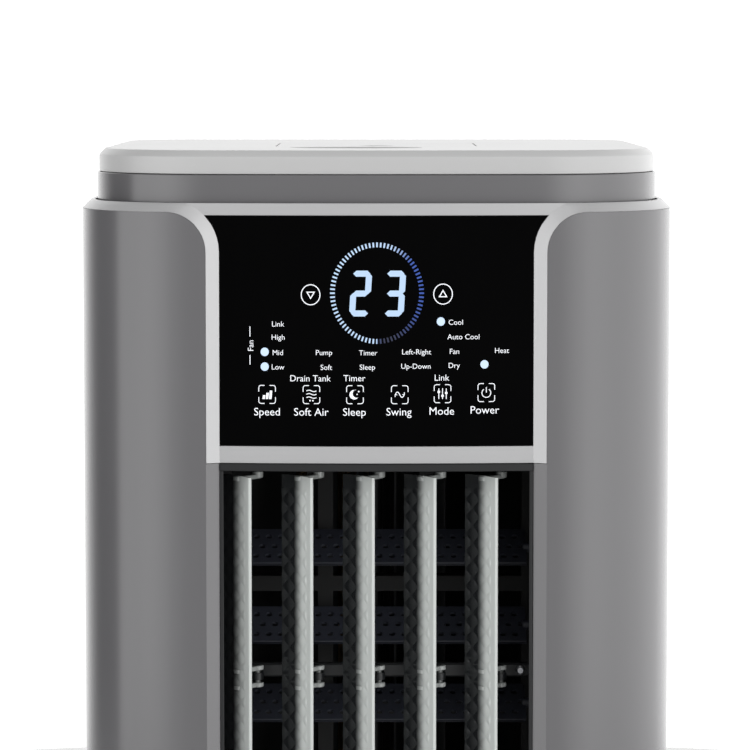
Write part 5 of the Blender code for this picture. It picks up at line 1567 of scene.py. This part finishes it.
def digit(figure, x, z, width, height, bar):
    """A seven-segment figure, leaning a little, as outlines."""
    half_w, half_h = width / 2, height / 2
    gap = bar * 0.14
    lean = 0.06

    def level(cx, cz, span):
        h = bar / 2
        s = span / 2 - gap
        high = [(cx - s, cz), (cx - s + h, cz + h), (cx + s - h, cz + h)]
        return [*high, (cx + s, cz), (cx + s - h, cz - h), (cx - s + h, cz - h)]

    def tall(cx, cz, span):
        return [(cx + (q - cz), cz + (p - cx)) for p, q in [(cx + a, cz + b) for a, b in
                [(u - cx, v - cz) for u, v in level(cx, cz, span)]]]

    inner_w, inner_h = width - bar, half_h - bar / 2
    side_x, span = half_w - bar / 2, inner_h + bar * 0.5
    spots = {
        "a": level(0, half_h - bar / 2, inner_w + bar * 0.7), "g": level(0, 0, inner_w + bar * 0.4),
        "d": level(0, -half_h + bar / 2, inner_w + bar * 0.7),
        "b": tall(side_x, inner_h / 2, span), "c": tall(side_x, -inner_h / 2, span),
        "f": tall(-side_x, inner_h / 2, span), "e": tall(-side_x, -inner_h / 2, span),
    }
    return [[(x + p + q * lean, z + q) for p, q in spots[s]] for s in SEGMENTS[figure]]


ICON_COLUMNS = (-0.0619, -0.0369, -0.0124, 0.0128, 0.0369, 0.0616)
ICON_ROW = 0.774
ICON_HALF = (0.0047, 0.0051)


def icon_frame(x, z):
    """The four corners of a key's frame, open at the middle of each side."""
    hx, hz = ICON_HALF
    line, gap_x, gap_z, round_ = 0.00042, hx * 0.30, hz * 0.30, 0.0013
    outlines = []
    for sx, sz in ((1, 1), (-1, 1), (-1, -1), (1, -1)):
        corner = [(hx - round_ + round_ * math.cos(a), hz - round_ + round_ * math.sin(a)) for a in
                  (math.radians(90 * i / 5) for i in range(6))]
        path = [(hx, gap_z), *corner, (gap_x, hz)]
        outlines.append(stroke([(x + sx * p, z + sz * q) for p, q in path], line))
    return outlines


def icon_marks(kind, x, z):
    """The mark inside one key."""
    line = 0.00046
    if kind == "bars":
        return [
            [(x - 0.0027 + 0.0019 * i, z - 0.0026), (x - 0.0013 + 0.0019 * i, z - 0.0026),
             (x - 0.0009 + 0.0019 * i, z - 0.0004 + 0.0013 * i), (x - 0.0023 + 0.0019 * i, z - 0.0004 + 0.0013 * i)]
            for i in range(3)
        ]
    if kind == "air":
        made = []
        for i in range(3):
            level = z + 0.0021 - 0.0019 * i
            path = [(x - 0.0028 + 0.0056 * k / 10, level + 0.0004 * math.sin(math.tau * k / 10)) for k in range(11)]
            made.append(stroke(path, line))
        return made + [circle(x - 0.0008 + 0.0016 * i, z - 0.0034, 0.00045, 0.00045, 12) for i in range(2)]
    if kind == "moon":
        outer = circle(x - 0.0004, z, 0.0027, 0.0027, 24, math.radians(70), math.radians(235))
        inner = circle(x + 0.0010, z + 0.0006, 0.0023, 0.0023, 24, math.radians(290), math.radians(-190))
        stars = [(0.0021, 0.0018, 0.0005), (0.0012, 0.0002, 0.0004)]
        return [outer + inner, *(circle(x + u, z + v, r, r, 8) for u, v, r in stars)]
    if kind == "wave":
        path = [(x - 0.0026 + 0.0052 * k / 16, z + 0.0015 * math.sin(math.tau * k / 16)) for k in range(17)]
        tip = [(0.0026, 0.0013), (0.0026, 0.0), (0.0015, 0.0001)]
        tips = [stroke([(x + s * u, z + s * v) for u, v in tip], line) for s in (-1, 1)]
        return [stroke(path, line), *tips]
    if kind == "sliders":
        made = []
        for i, knob in enumerate((0.0010, -0.0012, 0.0004)):
            column = x - 0.0021 + 0.0021 * i
            made += [oblong(column, z, line / 2, 0.0030), oblong(column, z + knob, 0.0007, 0.0006)]
        return made
    arc_ = circle(x, z - 0.0002, 0.0025, 0.0025, 30, math.radians(125), math.radians(290))
    bar = [(x - line / 2, z), (x + line / 2, z), (x + line / 2, z + 0.0031), (x - line / 2, z + 0.0031)]
    return [stroke(arc_, line), bar]


# Words by their place: x from the panel's middle and share of the way down, then the letter height
SMALL, MIDDLE, LARGE = 0.00420, 0.00505, 0.00625
WORDS = [
    ("Link", -0.0556, 0.470, SMALL), ("High", -0.0556, 0.527, SMALL), ("Mid", -0.0558, 0.594, SMALL),
    ("Low", -0.0557, 0.656, SMALL), ("Pump", -0.0298, 0.593, SMALL), ("Soft", -0.0285, 0.657, SMALL),
    ("Timer", -0.0050, 0.594, SMALL), ("Sleep", -0.0054, 0.656, SMALL), ("Left-Right", 0.0223, 0.590, SMALL),
    ("Up-Down", 0.0219, 0.652, SMALL), ("Cool", 0.0443, 0.462, SMALL), ("Auto Cool", 0.0486, 0.525, SMALL),
    ("Fan", 0.0436, 0.588, SMALL), ("Dry", 0.0435, 0.649, SMALL), ("Heat", 0.0704, 0.585, SMALL),
    ("Drain Tank", -0.0374, 0.705, MIDDLE), ("Timer", -0.0127, 0.704, MIDDLE), ("Link", 0.0366, 0.702, MIDDLE),
    ("Speed", -0.0620, 0.851, LARGE), ("Soft Air", -0.0370, 0.851, LARGE), ("Sleep", -0.0127, 0.851, LARGE),
    ("Swing", 0.0124, 0.850, LARGE), ("Mode", 0.0365, 0.847, LARGE), ("Power", 0.0608, 0.843, LARGE),
]
LAMPS = [(-0.0632, 0.5895), (-0.0632, 0.6535), (0.0359, 0.4575), (0.0605, 0.6435)]
ARROWS = [(-0.0370, 0.342, -1), (0.0374, 0.339, 1)]
RULE_X = -0.0712  # the two thin upright lines by the fan's speeds
RULE_HALF = 0.00022


def build_print():
    marks = [text(words, PANEL_X + x, panel_z(down), size) for words, x, down, size in WORDS]
    marks.append(text("Fan", -0.0708, panel_z(0.563), SMALL * 1.1, upright_text=True))
    for x, down, way in ARROWS:
        z = panel_z(down)
        marks.append(flat([circle(x, z, 0.0055, 0.0059, 56), circle(x, z, 0.0050, 0.0054, 56)]))
        outer, inner = 0.0029, 0.0019
        corners = [(math.sin(a), math.cos(a)) for a in (0.0, math.tau / 3, 2 * math.tau / 3)]
        for_sizes = (outer, inner * 0.95)
        marks.append(flat([[(x + r * p, z + way * r * q - way * 0.0003) for p, q in corners] for r in for_sizes]))
    for top, foot in ((0.480, 0.5235), (0.604, 0.6450)):
        low, high = panel_z(foot), panel_z(top)
        marks.append(flat([oblong(RULE_X, (low + high) / 2, RULE_HALF, (high - low) / 2)]))
    for x, kind in zip(ICON_COLUMNS, ("bars", "air", "moon", "wave", "sliders", "power")):
        x += PANEL_X
        z = panel_z(ICON_ROW - 0.004 * (kind in ("sliders", "power")) * (1.0 if kind == "sliders" else 2.0))
        for outline_ in icon_frame(x, z) + icon_marks(kind, x, z):
            marks.append(flat([outline_]))
    made = piece("panel_print", on_glass(joined(*marks)))
    return ready(made, "print", "cabinet", "glass_black")


def build_lights():
    centre = ring_place()
    ring = grown(
        tick_ring_tree(),
        {"Radius": 0.02505, "Stretch": 1.085, "Length": 0.0027, "Width": 0.00095, "Depth": 0.00005, "Count": 76,
         "Finish": finish_of("ring")},
    )
    made = piece("display_ring", on_glass(moved(ring, x=centre[0], z=centre[2]), 0.00002))
    ready(made, "ring", "cabinet", "glass_black")
    figures = []
    for figure, x in (("2", -0.0092), ("3", 0.0099)):
        for outline_ in digit(figure, PANEL_X + x, panel_z(0.3365), 0.0116, 0.0258, 0.0034):
            figures.append(flat([outline_]))
    made = piece("display_figures", on_glass(joined(*figures)))
    ready(made, "lamp", "cabinet", "glass_black")
    spots = [flat([circle(PANEL_X + x, panel_z(down), 0.0023, 0.0024, 36)]) for x, down in LAMPS]
    made = piece("panel_lamps", on_glass(joined(*spots)))
    return ready(made, "spot", "cabinet", "glass_black")


# ---- Stage ----


def build_stage():
    settings = bpy.context.scene.cooler_stage
    floor = lathe([(0, -0.01), (1.85, -0.01), (1.9, -0.004), (1.9, 0.0), (0, 0.0)], 96)
    made = bpy.data.objects.new("floor", floor)
    bpy.context.scene.collection.objects.link(made)
    floor.materials.append(moulded("floor_pale", (0.86, 0.86, 0.86), 0.6, grain=0.05, grain_size=0.002, mottle=0.01))

    world = bpy.data.worlds.new("studio")
    bpy.context.scene.world = world
    sky = Finish("studio", world)
    way = sky.node("ShaderNodeTexCoord").outputs["Generated"]
    x, y, z = sky.axes(way)
    turn = x.maths("ARCTAN2", 0.0 - y)  # 0 straight ahead of the front, up to half a turn, to the right
    left = turn.step(math.radians(-16), math.radians(-60)) * turn.step(math.radians(-92), math.radians(-88)) * 2.0
    right = turn.step(math.radians(4), math.radians(46)) * turn.step(math.radians(165), math.radians(110)) * 2.0
    front = y.step(-0.25, -0.85) * 0.62
    back = y.step(0.45, 0.95) * 1.6
    level = z.step(0.95, 0.30)
    top = z.step(0.25, 0.95) * 0.26 + z.step(0.30, 0.55) * y.step(-0.10, -0.60) * 0.45
    light = (left + right + front) * level + back + top + 0.05
    seen = Value(sky, sky.node("ShaderNodeLightPath").outputs["Is Camera Ray"])
    lit = sky.node("ShaderNodeBackground", None, {"Color": (1, 1, 1), "Strength": light})
    shown = sky.node("ShaderNodeBackground", None, {"Color": (1, 1, 1), "Strength": 1.2})
    both = sky.node("ShaderNodeMixShader", None, {0: seen, 1: lit.outputs[0], 2: shown.outputs[0]})
    sky.node("ShaderNodeOutputWorld", None, {"Surface": both.outputs[0]})

    camera = bpy.data.cameras.new("camera")
    camera.lens = settings.lens
    camera.sensor_width = 36.0
    camera.shift_y = settings.shift
    camera.clip_start = 0.05
    holder = bpy.data.objects.new("camera", camera)
    bpy.context.scene.collection.objects.link(holder)
    holder.location = (settings.aside, -settings.distance, settings.height)
    holder.rotation_euler = (math.pi / 2 - settings.pitch, 0, 0)
    bpy.context.scene.camera = holder
    bpy.context.scene.view_settings.view_transform = "Standard"


# ---- Operators, panel and run ----

class COOLER_OT_shells(bpy.types.Operator):
    """Builds the two wings, the rear shell and the cover under the outlet"""

    bl_idname = "cooler.shells"
    bl_label = "Build Shells"

    def execute(self, context):
        build_wing(1, "side_shell_right")
        build_wing(-1, "side_shell_left")
        build_rear()
        build_cover()
        return {"FINISHED"}

class COOLER_OT_trim(bpy.types.Operator):
    """Builds the silver trim and the black glass"""

    bl_idname = "cooler.trim"
    bl_label = "Build Trim and Glass"

    def execute(self, context):
        build_trim()
        build_glass()
        return {"FINISHED"}

class COOLER_OT_lid(bpy.types.Operator):
    """Builds the recessed neck, the lid with its dish and the filling flap"""

    bl_idname = "cooler.lid"
    bl_label = "Build Neck, Lid and Flap"

    def execute(self, context):
        build_neck()
        build_lid()
        build_flap()
        return {"FINISHED"}

class COOLER_OT_bezel(bpy.types.Operator):
    """Builds the lip, sill and sides inside the mouth of the outlet"""

    bl_idname = "cooler.bezel"
    bl_label = "Build Bezel"

    def execute(self, context):
        build_bezel()
        return {"FINISHED"}

class COOLER_OT_vanes(bpy.types.Operator):
    """Builds the five quilted vanes and the rail that stays them"""

    bl_idname = "cooler.vanes"
    bl_label = "Build Vanes"

    def execute(self, context):
        build_vanes()
        build_rail()
        return {"FINISHED"}

class COOLER_OT_blades(bpy.types.Operator):
    """Builds the six perforated blades behind the vanes"""

    bl_idname = "cooler.blades"
    bl_label = "Build Air Blades"

    def execute(self, context):
        build_blades()
        return {"FINISHED"}

class COOLER_OT_grips(bpy.types.Operator):
    """Builds the recessed grips in the sides"""

    bl_idname = "cooler.grips"
    bl_label = "Build Side Grips"

    def execute(self, context):
        build_grips()
        return {"FINISHED"}

class COOLER_OT_castors(bpy.types.Operator):
    """Builds the wheels and yokes of the four castors"""

    bl_idname = "cooler.castors"
    bl_label = "Build Castors"

    def execute(self, context):
        build_castors()
        return {"FINISHED"}

class COOLER_OT_back(bpy.types.Operator):
    """Builds the pierced grille of the rear cartridge"""

    bl_idname = "cooler.back"
    bl_label = "Build Rear Grille"

    def execute(self, context):
        build_back()
        return {"FINISHED"}

class COOLER_OT_marks(bpy.types.Operator):
    """Builds the printed words, keys and signs of the control panel"""

    bl_idname = "cooler.marks"
    bl_label = "Build Panel Marks"

    def execute(self, context):
        build_print()
        return {"FINISHED"}

class COOLER_OT_lights(bpy.types.Operator):
    """Builds the ring, the figures and the lamps of the display"""

    bl_idname = "cooler.lights"
    bl_label = "Build Panel Lights"

    def execute(self, context):
        build_lights()
        return {"FINISHED"}

class COOLER_OT_kept(bpy.types.Operator):
    """Gives the CAD pieces that stay their finishes"""

    bl_idname = "cooler.kept"
    bl_label = "Dress CAD Pieces"

    def execute(self, context):
        dress_kept()
        return {"FINISHED"}

class COOLER_OT_stage(bpy.types.Operator):
    """Builds the floor, the studio light and the camera"""

    bl_idname = "cooler.stage"
    bl_label = "Build Stage"

    def execute(self, context):
        build_stage()
        return {"FINISHED"}

OPERATORS = (
    COOLER_OT_shells,
    COOLER_OT_trim,
    COOLER_OT_lid,
    COOLER_OT_bezel,
    COOLER_OT_vanes,
    COOLER_OT_blades,
    COOLER_OT_grips,
    COOLER_OT_castors,
    COOLER_OT_back,
    COOLER_OT_marks,
    COOLER_OT_lights,
    COOLER_OT_kept,
    COOLER_OT_stage,
)


class COOLER_PT_panel(bpy.types.Panel):
    """Lists the cooler's pieces and its sizes"""

    bl_idname = "COOLER_PT_panel"
    bl_label = "Evaporative Cooler"
    bl_space_type = "VIEW_3D"
    bl_region_type = "UI"
    bl_category = "Cooler"

    def draw(self, context):
        column = self.layout.column()
        for each in OPERATORS:
            column.operator(each.bl_idname)
        for name in GROUPS:
            group = getattr(context.scene, name)
            for key in group.bl_rna.properties.keys():
                if key not in ("rna_type", "name"):
                    column.prop(group, key)


GROUPS = {
    "cooler_body": CoolerBodySizes,
    "cooler_outlet": CoolerOutletSizes,
    "cooler_finishes": CoolerFinishes,
    "cooler_stage": CoolerStage,
}


def register():
    for each in (*GROUPS.values(), *OPERATORS, COOLER_PT_panel):
        bpy.utils.register_class(each)
    for name, group in GROUPS.items():
        setattr(bpy.types.Scene, name, bpy.props.PointerProperty(type=group))


def unregister():
    for name in GROUPS:
        delattr(bpy.types.Scene, name)
    for each in (COOLER_PT_panel, *reversed(OPERATORS), *GROUPS.values()):
        bpy.utils.unregister_class(each)


def main():
    register()
    for each in OPERATORS:
        group, name = each.bl_idname.split(".")
        done = getattr(getattr(bpy.ops, group), name)()
        if done != {"FINISHED"}:
            raise RuntimeError(f"{each.bl_label} didn't finish")


if __name__ == "__main__":
    main()
